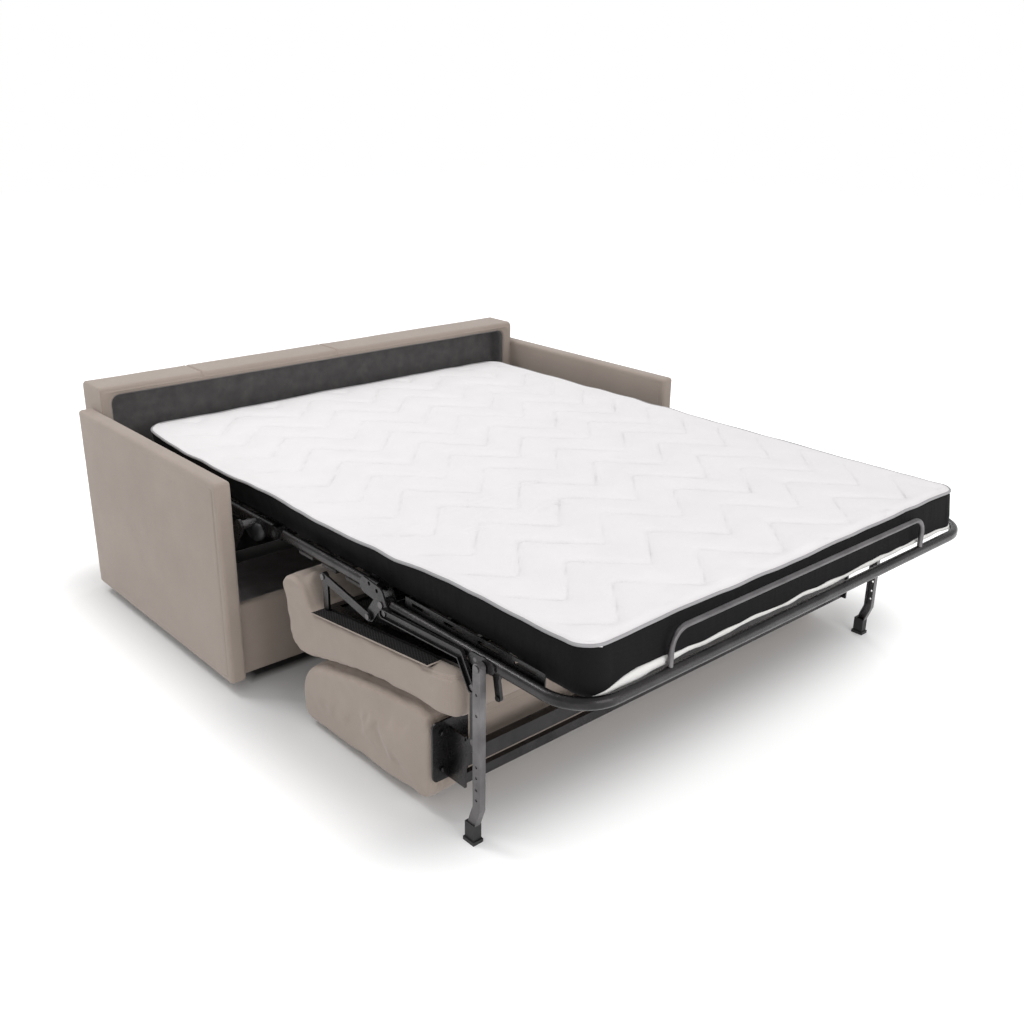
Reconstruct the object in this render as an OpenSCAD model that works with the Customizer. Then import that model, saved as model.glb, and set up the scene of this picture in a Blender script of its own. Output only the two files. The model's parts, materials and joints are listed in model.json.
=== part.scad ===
// Sofa bed with a folding steel bed frame, shown open as a bed.
// X is across the sofa, +Y points to its back, +Z is up, and the floor is z = 0.
// The origin lies on the floor under the middle of the back box.

/* [Sofa body] */
// Width over both arms
sofa_w = 1738; // [1600:2:1900]
// Thickness of an upholstered arm
arm_t = 45; // [30:1:60]
// Depth of an arm from back to front
arm_d = 879; // [860:1:900]
// Height of the arm's top above the floor
arm_top = 605; // [560:5:640]
// Height of the glides that lift the body off the floor
glide_h = 33; // [20:1:40]
// Height of the back box's top above the floor
back_top = 679; // [650:1:720]
// Depth of the back box
back_d = 129; // [115:1:140]
// How far the back box stands behind the arms
back_proud = 54; // [30:1:60]
// Width of the fabric border round the recess in the back box
recess_border = 34; // [26:1:90]
// Depth of the recess in the back box
recess_d = 84; // [50:1:95]
// Height of the recess's lower edge above the floor
recess_low = 250; // [180:5:300]
// Height of the front panel's top above the floor
front_top = 240; // [200:5:270]
// Thickness of the front panel
front_t = 26; // [18:1:32]
// Thickness of the inner side boards
board_t = 24; // [18:1:28]
// Height of the side boards' top above the floor
board_top = 300; // [260:5:340]
// Thickness of the felt-covered bottom
floor_t = 12; // [9:1:20]

/* [Mattress] */
// Gap between a side board and the bed frame, which sets the mattress's width
rail_gap = 50; // [42:1:60]
// Length of the mattress
bed_l = 1920; // [1860:5:1960]
// Thickness of the mattress
bed_t = 100; // [85:0.5:105]
// Height of the mattress's underside above the floor
bed_z = 455; // [450:0.5:480]
// Gap between the front plane of the back box and the mattress
bed_gap = 40; // [38:1:60]
// Corner radius of the mattress seen from above
bed_corner = 55; // [30:1:80]
// Radius of the mattress's long edges
bed_edge = 14; // [8:1:20]
// Crown of the mattress
bed_crown = 4; // [0:0.5:6]
// Half the length of foam that bends at the head hinge
head_bend = 114; // [110:1:120]
// Half the length of foam that bends at the foot hinge
foot_bend = 121; // [119:1:130]

/* [Frame] */
// Distance from the mattress's head end to the head hinge
head_l = 842; // [800:1:860]
// Distance between the head hinge and the foot hinge
middle_l = 467; // [440:1:480]
// Gap between the mattress's foot end and the middle of the foot rail
foot_gap = 15; // [14:1:24]
// Height of the flattened frame tube
tube_h = 28; // [26:1:40]
// Width of the flattened frame tube
tube_w = 22; // [18:1:24]
// Gap between the mattress's side and the frame tube
tube_gap = 28; // [24:1:36]
// Bend radius of the frame's corners
frame_bend = 100; // [80:1:120]
// Thickness of the hinge plates
plate_t = 4; // [3:0.5:5]
// Radius of the hinge pins
pin_r = 6; // [4:0.5:7]
// Running clearance of a pin in its bore
pin_play = 0.05; // [0.02:0.01:0.1]
// Thickness of a bed slat
slat_t = 8; // [6:1:10]
// Width of a bed slat
slat_w = 62; // [50:1:70]
// Pitch of the bed slats
slat_pitch = 104; // [98:1:130]
// Radius of the mattress hoop's rod
hoop_r = 6.5; // [5:0.5:8]
// Width of the mattress hoop
hoop_w = 970; // [800:10:1100]
// Height of the hoop's top above the floor
hoop_top = 540; // [525:1:560]

/* [Legs] */
// Distance from the foot hinge to the leg's pivot
leg_reach = 360; // [356:1:370]
// Height of the leg's pivot above the floor
leg_pivot_z = 436; // [430:1:440]
// Width of the leg's channel, seen from the side
leg_depth = 24; // [22:1:32]
// Depth of the leg's channel, across the sofa
leg_w = 16; // [15:1:24]
// Wall of the leg's channel
leg_wall = 3; // [2:0.5:4]
// How far the crank near the leg's foot leads back
leg_crank = 20; // [10:1:26]

/* [Cushions] */
// Gap between the inner face of an arm and the cushions' ends, seen from the front
cushion_gap = 29; // [20:1:50]
// Radius of the seat cushion's ends
seat_edge = 20; // [15:1:35]
// How far the seat cushion's sides pull in at its ends
seat_draw = 8; // [6:1:16]
// Radius of the back cushion's ends
back_edge = 34; // [25:1:55]
// How far the back cushion's sides pull in at its ends
back_draw = 11; // [8:1:24]
// Crown of the seat cushion's finished face
seat_crown = 5; // [0:0.5:6]
// Crown of the back cushion
back_crown = 4; // [0:0.5:5]

/* [Hidden] */
// Names of the pieces

// Facets of round parts and steps of a soft corner
$fn = 40;
soft_steps = 4;
// Clearance of a soft piece on its neighbour
soft_gap = 0.3;

// Colours of the finishes
fabric_c = [0.64, 0.60, 0.55];
felt_c = [0.27, 0.27, 0.28];
steel_c = [0.32, 0.32, 0.34];
black_c = [0.08, 0.08, 0.09];
slat_c = [0.75, 0.62, 0.45];
mattress_c = [0.92, 0.92, 0.91];

// Widths, measured from the middle
inner_x = sofa_w / 2 - arm_t;
board_in = inner_x - board_t;
tube_out = board_in - rail_gap;
tube_in = tube_out - tube_w;
tube_mid = tube_in + tube_w / 2;
bed_x = tube_in - tube_gap;
cushion_x = inner_x - cushion_gap;

// Places along the sofa
back_front = back_proud - back_d;
bed_head = back_front - bed_gap;
bed_foot = bed_head - bed_l;
head_y = bed_head - head_l;
knee_y = head_y - middle_l;
foot_y = bed_foot - foot_gap;
head_cross_y = back_front - tube_w;
front_y = -arm_d + 33;

// Heights of the frame
slat_top = bed_z - soft_gap;
tube_z = slat_top + tube_h / 2;
foot_z = slat_top - tube_h / 2;
head_hinge = [head_y, tube_z];
knee_hinge = [knee_y, foot_z];

// Layers of the linkage beside the frame tube
side_gap = 0.3;
plate_in = tube_in - side_gap - plate_t;
plate_x = tube_out + side_gap;
clevis_w = plate_x + plate_t - plate_in;
link_x = plate_x + plate_t;
link_t = 6;
channel_t = 9;
leg_x = tube_out + 6;
end_gap = 26;

// Points of the linkage, as distances from the foot hinge and heights
link_z = foot_z + 4.5;
arm_a = [knee_y - 16, foot_z - 14];
arm_bend = [knee_y - 292, link_z - 6];
arm_b = [knee_y - 330, link_z - 70];
link_c = [knee_y + 234, link_z - 14];
link_d = [knee_y + 46, link_z - 49];
back_pivot = [arm_b[0], link_z - 205];
leg_pivot = [knee_y - leg_reach, leg_pivot_z];
link_w = 24;
knee_w = 44;
hinge_w = 34;

// Heads of pins and rivets
head_t = 2.5;
head_grow = 2.5;

// Lines of the seat cushion, which hangs upside down under the open bed
seat_back_y = knee_y - 313;
seat_front_y = knee_y + 259;
seat_front_z = 334;
seat_back_z = 398;
seat_slope = (seat_back_z - seat_front_z) / (seat_back_y - seat_front_y);
frame_bar_t = 8;
frame_bar_w = 24;

// Height of the seat's underside at a place along the sofa
function seat_under(y) = seat_front_z + seat_slope * (y - seat_front_y);

// Unit vector of a
function unit(a) = a / norm(a);

// Points of one rounded corner at p, between neighbours a and b
function soft_corner(a, p, b, r) = [
    for (i = [0:soft_steps])
        let (t = i / soft_steps, p0 = p + r * unit(a - p), p1 = p + r * unit(b - p))
        (1 - t) * (1 - t) * p0 + 2 * t * (1 - t) * p + t * t * p1];

// Closed outline through corners [y, z, radius]
function soft_outline(c) = [
    for (i = [0:len(c) - 1])
        let (n = len(c), a = c[(i + n - 1) % n], p = c[i], b = c[(i + 1) % n])
        each soft_corner([a[0], a[1]], [p[0], p[1]], [b[0], b[1]], p[2])];

// Outward direction of an anticlockwise outline at point i
function outward(o, i) =
    let (n = len(o), d = unit(o[(i + 1) % n] - o[(i + n - 1) % n])) [d[1], -d[0]];

// Outline moved inwards by d
function drawn_in(o, d) = [for (i = [0:len(o) - 1]) o[i] - d * outward(o, i)];

// Closed solid through rings with the same number of points
module loft(rings) {
    n = len(rings[0]);
    m = len(rings);
    sides = [
        for (j = [0:m - 2], i = [0:n - 1])
            let (k = (i + 1) % n)
            each [[j * n + i, (j + 1) * n + i, j * n + k],
                  [(j + 1) * n + i, (j + 1) * n + k, j * n + k]]];
    caps = [[for (i = [0:n - 1]) i], [for (i = [n - 1:-1:0]) (m - 1) * n + i]];
    polyhedron([for (r = rings) each r], concat(sides, caps), convexity = 4);
}

// Places across a soft piece's end, and how far the outline has drawn in there
function end_rows(half, edge, draw) = [
    for (i = [0:soft_steps]) let (a = 90 * i / soft_steps)
        [-half + edge * (1 - cos(a)), draw * (1 - sin(a))]];
function cross_rows(half, edge, draw) =
    let (e = end_rows(half, edge, draw), n = len(e), mid = (half - edge) / 2)
    concat(e, [[-mid, 0], [0, 0], [mid, 0]],
           [for (i = [n - 1:-1:0]) [-e[i][0], e[i][1]]]);

// Upholstered solid: a side outline carried across X, with rounded ends.
// swell(p) is the share of the crown at a point of the outline.
module soft_solid(outline, half, edge, draw, crown = 0, swell = function (p) [0, 0]) {
    loft([
        for (row = cross_rows(half, edge, draw))
            let (o = drawn_in(outline, row[1]), c = crown * (1 - pow(row[0] / half, 2)))
            [for (p = o) let (q = p + c * swell(p)) [row[0], q[0], q[1]]]]);
}

// Side outline given a thickness across X, from x towards +X
module across(x, t) {
    translate([x, 0, 0])
        rotate([90, 0, 90])
            linear_extrude(t)
                children();
}

// Flat bar with round ends between two points of the side view
module strap(a, b, w) {
    d = b - a;
    translate(a)
        rotate(atan2(d[1], d[0])) {
            translate([0, -w / 2])
                square([norm(d), w]);
            circle(d = w);
            translate([norm(d), 0])
                circle(d = w);
        }
}

// Bore along X
module bore(x, t, p, r) {
    translate([x - 1, p[0], p[1]])
        rotate([0, 90, 0])
            cylinder(r = r, h = t + 2);
}

// Pin along X with a head at both ends, outside x and x + t
module headed_pin(x, t, p, r) {
    translate([x - head_t, p[0], p[1]])
        rotate([0, 90, 0]) {
            cylinder(r = r + head_grow, h = head_t);
            cylinder(r = r, h = t + 2 * head_t);
            translate([0, 0, t + head_t])
                cylinder(r = r + head_grow, h = head_t);
        }
}

// A piece drawn for the right side, shown on both sides
module both_sides() {
    children();
    mirror([1, 0, 0])
        children();
}

// Cross-section of the flattened tube
module tube_section() {
    flat = tube_h - tube_w;
    square([tube_w, flat], center = true);
    translate([0, flat / 2])
        circle(d = tube_w);
    translate([0, -flat / 2])
        circle(d = tube_w);
}

// Flattened tube along -Y from y
module tube_along(x, y, l, z) {
    translate([x, y, z])
        rotate([90, 0, 0])
            linear_extrude(l)
                tube_section();
}

// U-shaped frame in a level plane, with its legs along -Y from y = 0 and its cross tube at -l
module u_frame(l) {
    run = tube_mid - frame_bend;
    both_sides() {
        tube_along(tube_mid, 0, l - frame_bend, 0);
        translate([run, -(l - frame_bend), 0])
            rotate([0, 0, -90])
                rotate_extrude(angle = 90)
                    translate([frame_bend, 0])
                        tube_section();
    }
    translate([-run, -l, 0])
        rotate([90, 0, 90])
            linear_extrude(2 * run)
                tube_section();
}

// Row of flat slats across the bed, from y0 down to y1
module slat_row(y0, y1, half) {
    count = floor((y0 - y1 - slat_w) / slat_pitch);
    start = (y0 + y1) / 2 + count * slat_pitch / 2;
    for (i = [0:count])
        translate([-half, start - i * slat_pitch - slat_w / 2, slat_top - slat_t])
            cube([2 * half, slat_w, slat_t]);
}

// Distance that the plan corner takes off the mattress's half width, d from its end
function corner_inset(d, r) = d >= r ? 0 : r - sqrt(r * r - (r - d) * (r - d));

// Ring of the mattress at y
function bed_ring(y) =
    let (d = min(bed_head - y, y - bed_foot),
         w = bed_x - corner_inset(d, bed_corner),
         e = corner_inset(d, bed_edge),
         low = bed_z + e, high = bed_z + bed_t - e, r = bed_edge - e * 0.9,
         crown = bed_crown * min(1, d / 200),
         c = soft_outline([[-w, low, r], [w, low, r], [w, high, r], [-w, high, r]]),
         n = len(c) / 2)
    [for (i = [0:len(c) - 1]) [c[i][0], y, c[i][1]],
     for (s = [-0.75:0.25:0.75]) [s * w, y, high + crown * (1 - s * s)]];

// Ring order: the crown points close the loop along the top
function ordered_ring(y) =
    let (r = bed_ring(y), n = 4 * (soft_steps + 1), k = 3 * (soft_steps + 1))
    [for (i = [0:k - 1]) r[i], for (i = [len(r) - 1:-1:n]) r[i], for (i = [k:n - 1]) r[i]];

// Piece of the mattress between y0 and y1, y0 nearer the head
module bed_piece(y0, y1) {
    steps = [0, 2, 6, 14, 26, 40, bed_corner, 200];
    ends = concat([for (s = steps) bed_head - s], [for (i = [len(steps) - 1:-1:0]) bed_foot + steps[i]]);
    inside = [for (y = ends) if (y < y0 - 1 && y > y1 + 1) y];
    loft([for (y = concat([y0], inside, [y1])) ordered_ring(y)]);
}

// Upholstered slim arm; side is -1 for the left and 1 for the right
module arm(side) {
    outline = soft_outline([
        [-arm_d, glide_h, 10], [0, glide_h, 10], [0, arm_top, 12], [-arm_d, arm_top, 12]]);
    translate([side * (inner_x + arm_t / 2), 0, 0])
        soft_solid(outline, arm_t / 2, 10, 7);
}
module arm_left() {
    color(fabric_c)
        arm(-1);
}
module arm_right() {
    color(fabric_c)
        arm(1);
}

// Rounded rectangle of the recess, smaller by inset
module recess_outline(inset) {
    r = 30;
    w = inner_x - recess_border - inset;
    low = recess_low + inset;
    high = back_top - recess_border + 6 - inset;
    for (s = [-1, 1]) {
        translate([s * (w - r), low + r])
            circle(r = r - inset);
        translate([s * (w - r), high - r])
            circle(r = r - inset);
    }
    translate([-w + inset, low + r])
        square([2 * (w - inset), high - low - 2 * r]);
    translate([-w + r, low + inset])
        square([2 * (w - r), high - low - 2 * inset]);
}

// Recess as a solid, from depth d behind the box's front plane out past its front
module recess_solid(inset, d) {
    proud = 20;
    translate([0, back_front + d, 0])
        rotate([90, 0, 0])
            linear_extrude(d + proud)
                recess_outline(inset);
}

// Rectangle with rounded corners, from corner a to corner b
module round_rect(a, b, r) {
    translate(a + [r, 0])
        square([b[0] - a[0] - 2 * r, b[1] - a[1]]);
    translate(a + [0, r])
        square([b[0] - a[0], b[1] - a[1] - 2 * r]);
    for (y = [a[0] + r, b[0] - r], z = [a[1] + r, b[1] - r])
        translate([y, z])
            circle(r = r);
}

module back_box() {
    r = 14;
    color(fabric_c)
        difference() {
            across(-inner_x, 2 * inner_x)
                round_rect([back_front, glide_h], [back_proud, back_top], r);
            recess_solid(0, recess_d);
        }
}

module back_recess_lining() {
    felt_t = 4;
    lip = 10;
    color(felt_c)
        difference() {
            recess_solid(soft_gap, recess_d - soft_gap);
            recess_solid(felt_t, recess_d - felt_t);
            translate([-sofa_w, back_front + lip - back_d, 0])
                cube([2 * sofa_w, back_d, 2 * back_top]);
        }
}

module front_panel() {
    outline = soft_outline([
        [front_y, glide_h, 7], [front_y + front_t, glide_h, 7],
        [front_y + front_t, front_top, 10], [front_y, front_top, 10]]);
    color(fabric_c)
        soft_solid(outline, inner_x, 6, 4);
}

module base_floor() {
    rear_gap = 105;
    color(felt_c)
        translate([-board_in, front_y + front_t, glide_h])
            cube([2 * board_in, back_front - rear_gap - front_y - front_t, floor_t]);
}

// Inner side board with a rounded upper corner at the front
module side_board() {
    r = 40;
    low = glide_h;
    back = back_front;
    front = front_y + front_t;
    across(board_in, board_t)
        difference() {
            translate([front, low])
                square([back - front, board_top - low]);
            difference() {
                translate([front, board_top - r])
                    square(r);
                translate([front + r, board_top - r])
                    circle(r = r);
            }
        }
}
module side_board_left() {
    color(slat_c)
        mirror([1, 0, 0])
            side_board();
}
module side_board_right() {
    color(slat_c)
        side_board();
}

// Round glides under the arms, the back box and the front panel
module base_glides() {
    glide_r = 20;
    board_r = board_t / 2 - 1;
    board_mid = inner_x - board_t / 2;
    color(black_c) {
        for (y = [back_front - 40, front_y + front_t + 30])
            both_sides()
                translate([board_mid, y, 0])
                    cylinder(r = board_r, h = glide_h);
        both_sides()
            translate([inner_x / 2, 0, 0])
                cylinder(r = glide_r, h = glide_h);
        cylinder(r = glide_r, h = glide_h);
        translate([0, front_y + front_t / 2, 0])
            cylinder(r = front_t / 2 - 1, h = glide_h);
    }
}

// Head section of the bed frame, fixed to the body by its struts
module head_frame() {
    color(steel_c)
        difference() {
            translate([0, head_y + end_gap, tube_z])
                mirror([0, 1, 0])
                    u_frame(head_cross_y - head_y - end_gap);
            both_sides()
                for (p = strut_tops())
                    bore(tube_in, tube_w, p, pin_r);
        }
}

module head_slats() {
    color(slat_c)
        slat_row(head_cross_y - tube_w, head_y + 60, tube_out - 5);
}

// Pairs of plates that carry the head hinge
module head_hinge_plates() {
    run = end_gap + 50;
    color(steel_c)
        both_sides()
            for (x = [plate_in, plate_x])
                difference() {
                    across(x, plate_t)
                        strap(head_hinge, head_hinge + [run, 0], hinge_w);
                    bore(x, plate_t, head_hinge, pin_r);
                }
}

module head_hinge_pins() {
    color(black_c)
        both_sides()
            headed_pin(plate_in, clevis_w, head_hinge, pin_r);
}

// Struts that carry the head section on the side boards
strut_w = 34;
strut_t = 8;
strut_rise = 345;
strut_lean = 250;
strut_near = 105;
strut_share = 0.665;
function strut_tops() = [for (y = [strut_near, strut_share * head_l]) [head_y + y, tube_z]];
function strut_low(top) = [top[0] + strut_lean, tube_z - strut_rise];

module frame_struts() {
    x = board_in - strut_t;
    color(steel_c)
        both_sides()
            for (p = strut_tops())
                difference() {
                    across(x, strut_t)
                        strap(p, strut_low(p), strut_w);
                    bore(x, strut_t, p, pin_r);
                }
}

module strut_pins() {
    color(black_c)
        both_sides()
            for (p = strut_tops()) {
                translate([tube_in, p[0], p[1]])
                    rotate([0, 90, 0])
                        cylinder(r = pin_r, h = board_in - tube_in);
                translate([tube_out, p[0], p[1]])
                    rotate([0, 90, 0])
                        cylinder(r = pin_r + 5, h = board_in - strut_t - tube_out);
                translate([tube_in - head_t, p[0], p[1]])
                    rotate([0, 90, 0])
                        cylinder(r = pin_r + 4, h = head_t);
            }
}

module mattress_head() {
    color(mattress_c)
        bed_piece(bed_head, head_y + head_bend);
}
module mattress_head_fold() {
    color(mattress_c)
        bed_piece(head_y + head_bend - soft_gap, head_y - head_bend + soft_gap);
}
module mattress_middle() {
    color(mattress_c)
        bed_piece(head_y - head_bend, knee_y + foot_bend);
}
module mattress_foot_fold() {
    color(mattress_c)
        bed_piece(knee_y + foot_bend - soft_gap, knee_y - foot_bend + soft_gap);
}
module mattress_foot() {
    color(mattress_c)
        bed_piece(knee_y - foot_bend, bed_foot);
}

// Side rail of the middle section, with a round end on the head hinge
module middle_rail() {
    start = head_y - end_gap;
    tube_along(tube_mid, start, start - knee_y - end_gap, tube_z);
    difference() {
        across(tube_in, tube_w)
            strap(head_hinge, head_hinge - [end_gap + tube_h, 0], tube_h - 2);
        bore(tube_in, tube_w, head_hinge, pin_r + pin_play);
        translate([tube_in - 1, start - 2 * tube_h, tube_z - tube_h])
            cube([tube_w + 2, 2 * tube_h, 2 * tube_h]);
    }
}
module middle_rail_left() {
    color(steel_c)
        mirror([1, 0, 0])
            middle_rail();
}
module middle_rail_right() {
    color(steel_c)
        middle_rail();
}

cross_tube_r = 10;
cross_tube_at = knee_hinge + [34, -22];
module middle_cross_tube() {
    half = plate_in;
    color(steel_c)
        translate([-half, cross_tube_at[0], cross_tube_at[1]])
            rotate([0, 90, 0])
                cylinder(r = cross_tube_r, h = 2 * half);
}

module middle_slats() {
    color(slat_c)
        slat_row(head_y - 60, knee_y + 50, tube_out - 5);
}

// Rounded plates at the foot hinge, with the holes of their lower lobes
module knee_plates() {
    light_hole_r = 5;
    color(steel_c)
        both_sides()
            for (x = [plate_in, plate_x])
                difference() {
                    across(x, plate_t) {
                        strap([knee_y + 62, tube_z], [knee_y + 10, tube_z - 6], knee_w - 4);
                        strap([knee_y + 10, tube_z - 8], knee_hinge, knee_w);
                        strap(knee_hinge, arm_a, knee_w - 6);
                        strap(knee_hinge + [12, 0], link_d, link_w + 6);
                    }
                    bore(x, plate_t, knee_hinge, pin_r);
                    bore(x, plate_t, arm_a, pin_r - 1);
                    bore(x, plate_t, link_d, pin_r - 1);
                    for (d = [[14, 30], [44, 38]])
                        bore(x, plate_t, knee_hinge + d, light_hole_r);
                }
}

module knee_pins() {
    color(black_c)
        both_sides()
            headed_pin(plate_in, clevis_w, knee_hinge, pin_r);
}

// Cranked channel that carries the end of the seat from the foot hinge
module seat_arm() {
    wall = 3;
    rivet_r = pin_r - 1;
    difference() {
        across(link_x, channel_t) {
            strap(arm_a, arm_bend, link_w);
            strap(arm_bend, arm_b, link_w);
        }
        across(link_x + wall, channel_t) {
            strap(arm_a, arm_bend, link_w - 2 * wall);
            strap(arm_bend, arm_b, link_w - 2 * wall);
        }
        bore(link_x, channel_t, arm_a, rivet_r);
        bore(link_x, channel_t, arm_b, rivet_r);
    }
}
module seat_arm_left() {
    color(steel_c)
        mirror([1, 0, 0])
            seat_arm();
}
module seat_arm_right() {
    color(steel_c)
        seat_arm();
}

module seat_links() {
    color(steel_c)
        both_sides()
            difference() {
                across(link_x, link_t)
                    strap(link_c, link_d, link_w - 2);
                bore(link_x, link_t, link_c, pin_r - 1);
                bore(link_x, link_t, link_d, pin_r - 1);
            }
}

strap_x = link_x - link_t;

// Straps at the seat's end that carry the back cushion's pivots
module back_hinge_straps() {
    color(steel_c)
        both_sides()
            difference() {
                across(strap_x, link_t)
                    strap(arm_b, back_pivot, link_w + 2);
                bore(strap_x, link_t, arm_b, pin_r - 1);
                bore(strap_x, link_t, back_pivot, pin_r);
            }
}

module back_hinge_pins() {
    color(black_c)
        both_sides()
            headed_pin(strap_x - link_t - 1, 2 * link_t + 1, back_pivot, pin_r);
}

// Rivets of the seat's linkage
module seat_rivets() {
    r = pin_r - 1;
    wall = 3;
    color(black_c)
        both_sides() {
            translate([plate_x, arm_a[0], arm_a[1]])
                rotate([0, 90, 0]) {
                    cylinder(r = r, h = plate_t + wall + head_t);
                    translate([0, 0, plate_t + wall])
                        cylinder(r = r + head_grow, h = head_t);
                }
            headed_pin(strap_x - link_t, 2 * link_t + wall, arm_b, r);
            headed_pin(strap_x, 2 * link_t, link_c, r);
            headed_pin(plate_x, plate_t + link_t, link_d, r);
        }
}

// Sloping strip that lies on the seat's underside, from y0 back to y1
module under_strip(x, w, y0, y1, low, t) {
    across(x, w)
        polygon([[y0, seat_under(y0) + low], [y0, seat_under(y0) + low + t],
                 [y1, seat_under(y1) + low + t], [y1, seat_under(y1) + low]]);
}

// Steel frame on the seat's underside
bar_low = 0.5;
bar_out = strap_x;
module seat_frame() {
    side_in = bar_out - frame_bar_w;
    y_end = arm_b[0] - link_w / 2;
    y_start = link_c[0] + 12;
    color(steel_c) {
        both_sides() {
            under_strip(side_in, frame_bar_w, y_start, y_end, bar_low, frame_bar_t);
            difference() {
                across(strap_x - link_t, link_t)
                    strap(arm_b, [arm_b[0], seat_under(arm_b[0])], link_w);
                bore(strap_x - link_t, link_t, arm_b, pin_r - 1);
                under_strip(side_in - 1, frame_bar_w + 2, y_start, y_end - 5, bar_low, frame_bar_t);
            }
            difference() {
                across(strap_x, link_t)
                    strap([link_c[0], seat_under(link_c[0]) + 12], link_c, link_w - 2);
                bore(strap_x, link_t, link_c, pin_r - 1);
            }
        }
        for (y = [y_start, (y_start + y_end) / 2, y_end + 70])
            under_strip(-side_in, 2 * side_in, y, y - frame_bar_w, bar_low, frame_bar_t);
    }
}

// Honeycomb mesh cloth that closes the seat's underside
module seat_mesh() {
    cloth_t = 2;
    half = bar_out - frame_bar_w - 1;
    y0 = link_c[0] + 12 - frame_bar_w - 1;
    y1 = arm_b[0] - link_w / 2 + 71;
    mid = (link_c[0] + 12 + arm_b[0] - link_w / 2) / 2;
    side_a = link_c[0] - link_w / 2 - 2;
    side_b = seat_back_y + 24;
    color(black_c) {
        both_sides()
            under_strip(bar_out + 1, cushion_x - 30 - bar_out, side_a, side_b, bar_low, cloth_t);
        under_strip(-half, 2 * half, y0, mid + 1, bar_low, cloth_t);
        under_strip(-half, 2 * half, mid - frame_bar_w - 1, y1, bar_low, cloth_t);
    }
}

// Side outline of the seat cushion: its finished face looks down and its front drop stands up
seat_corners = [
    [seat_back_y, 292, 26], [knee_y - 150, 284, 60], [knee_y - 45, 275, 30],
    [knee_y + 76, 252, 40], [knee_y + 238, 213, 34], [knee_y + 308, 194, 30],
    [knee_y + 366, 222, 28], [knee_y + 384, 307, 30], [knee_y + 378, 402, 22],
    [knee_y + 335, 418, 20], [knee_y + 294, 398, 16], [knee_y + 272, 350, 10],
    [seat_front_y, seat_front_z, 6], [seat_back_y + 80, seat_under(seat_back_y + 80), 20],
    [seat_back_y + 14, seat_under(seat_back_y + 14), 16], [seat_back_y - 3, 345, 20]];

module seat_cushion() {
    outline = soft_outline(seat_corners);
    color(fabric_c)
        soft_solid(outline, cushion_x, seat_edge, seat_draw, seat_crown,
                   function (p) [0, seat_under(p[0]) - p[1] > 60 ? -1 : 0]);
}

// Side outline of the back cushion, folded onto the seat's finished face
back_end_y = knee_y - 228;
back_corners = [
    [back_end_y, 60, 18], [knee_y - 196, 30, 22], [knee_y - 45, 22, 40],
    [knee_y + 110, 17, 40], [knee_y + 316, 17, 38], [knee_y + 326, 112, 32],
    [knee_y + 296, 164, 26], [knee_y + 236, 198, 26],
    [knee_y + 76, 231, 40], [knee_y - 45, 252, 40], [knee_y - 176, 266, 18],
    [knee_y - 212, 258, 16], [back_end_y, 214, 20]];

module back_cushion() {
    outline = soft_outline(back_corners);
    centre = [knee_y + 40, 130];
    color(fabric_c)
        soft_solid(outline, cushion_x, back_edge, back_draw, back_crown,
                   function (p) abs(p[0] - centre[0]) < 240 ? [0, p[1] > centre[1] ? 1 : -1] : [0, 0]);
}

// Foot section of the bed frame
module foot_frame() {
    start = knee_y - end_gap;
    color(steel_c) {
        difference() {
            translate([0, start, foot_z])
                u_frame(start - foot_y);
            both_sides()
                bore(tube_in, tube_w, leg_bracket_at(), pin_r - 1);
        }
        both_sides()
            difference() {
                across(tube_in, tube_w)
                    strap(knee_hinge, knee_hinge - [end_gap + tube_h, 0], tube_h - 2);
                bore(tube_in, tube_w, knee_hinge, pin_r + pin_play);
                translate([tube_in - 1, start - 2 * tube_h, foot_z - tube_h])
                    cube([tube_w + 2, 2 * tube_h, 2 * tube_h]);
            }
    }
}

// Slotted strips beside the mattress, on the inner face of the foot rails
module foot_side_strips() {
    strip_t = 3;
    y0 = knee_y - 60;
    y1 = foot_y + frame_bend + 10;
    slot_l = 60;
    slots = 4;
    pitch = (y0 - y1) / slots;
    high = tube_z + 8;
    color(steel_c)
        both_sides()
            difference() {
                across(tube_in - strip_t, strip_t)
                    translate([y1, foot_z - 4])
                        square([y0 - y1, high - foot_z + 4]);
                for (i = [0:slots - 1])
                    across(tube_in - strip_t - 1, strip_t + 2)
                        strap([y0 - pitch * (i + 0.5) - slot_l / 2, high - 12],
                              [y0 - pitch * (i + 0.5) + slot_l / 2, high - 12], 8);
            }
}

module foot_slats() {
    strip_t = 3;
    color(slat_c)
        slat_row(knee_y - 62, foot_y + frame_bend, tube_in - strip_t);
}

// Bent rod that keeps the mattress from sliding off
module mattress_hoop() {
    r = 45;
    half = hoop_w / 2;
    top = hoop_top - hoop_r;
    color(steel_c)
        difference() {
            union() {
                both_sides() {
                    translate([half, foot_y, foot_z])
                        cylinder(r = hoop_r, h = top - r - foot_z);
                    translate([half - r, foot_y, top - r])
                        rotate([90, 0, 0])
                            rotate_extrude(angle = 90)
                                translate([r, 0])
                                    circle(r = hoop_r);
                }
                translate([-(half - r), foot_y, top])
                    rotate([0, 90, 0])
                        cylinder(r = hoop_r, h = 2 * (half - r));
            }
            translate([-half - 50, foot_y, foot_z])
                rotate([90, 0, 90])
                    linear_extrude(hoop_w + 100)
                        tube_section();
        }
}

// Plates on the foot rails that carry the legs
function leg_bracket_at() = [leg_pivot[0] + 26, foot_z];
module leg_brackets() {
    color(steel_c)
        both_sides()
            difference() {
                across(plate_x, plate_t) {
                    strap(leg_bracket_at() + [6, 0], [leg_pivot[0] - 20, foot_z], 30);
                    strap([leg_pivot[0], foot_z], leg_pivot, 34);
                }
                bore(plate_x, plate_t, leg_pivot, pin_r);
                bore(plate_x, plate_t, leg_bracket_at(), pin_r - 1);
            }
}

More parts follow.
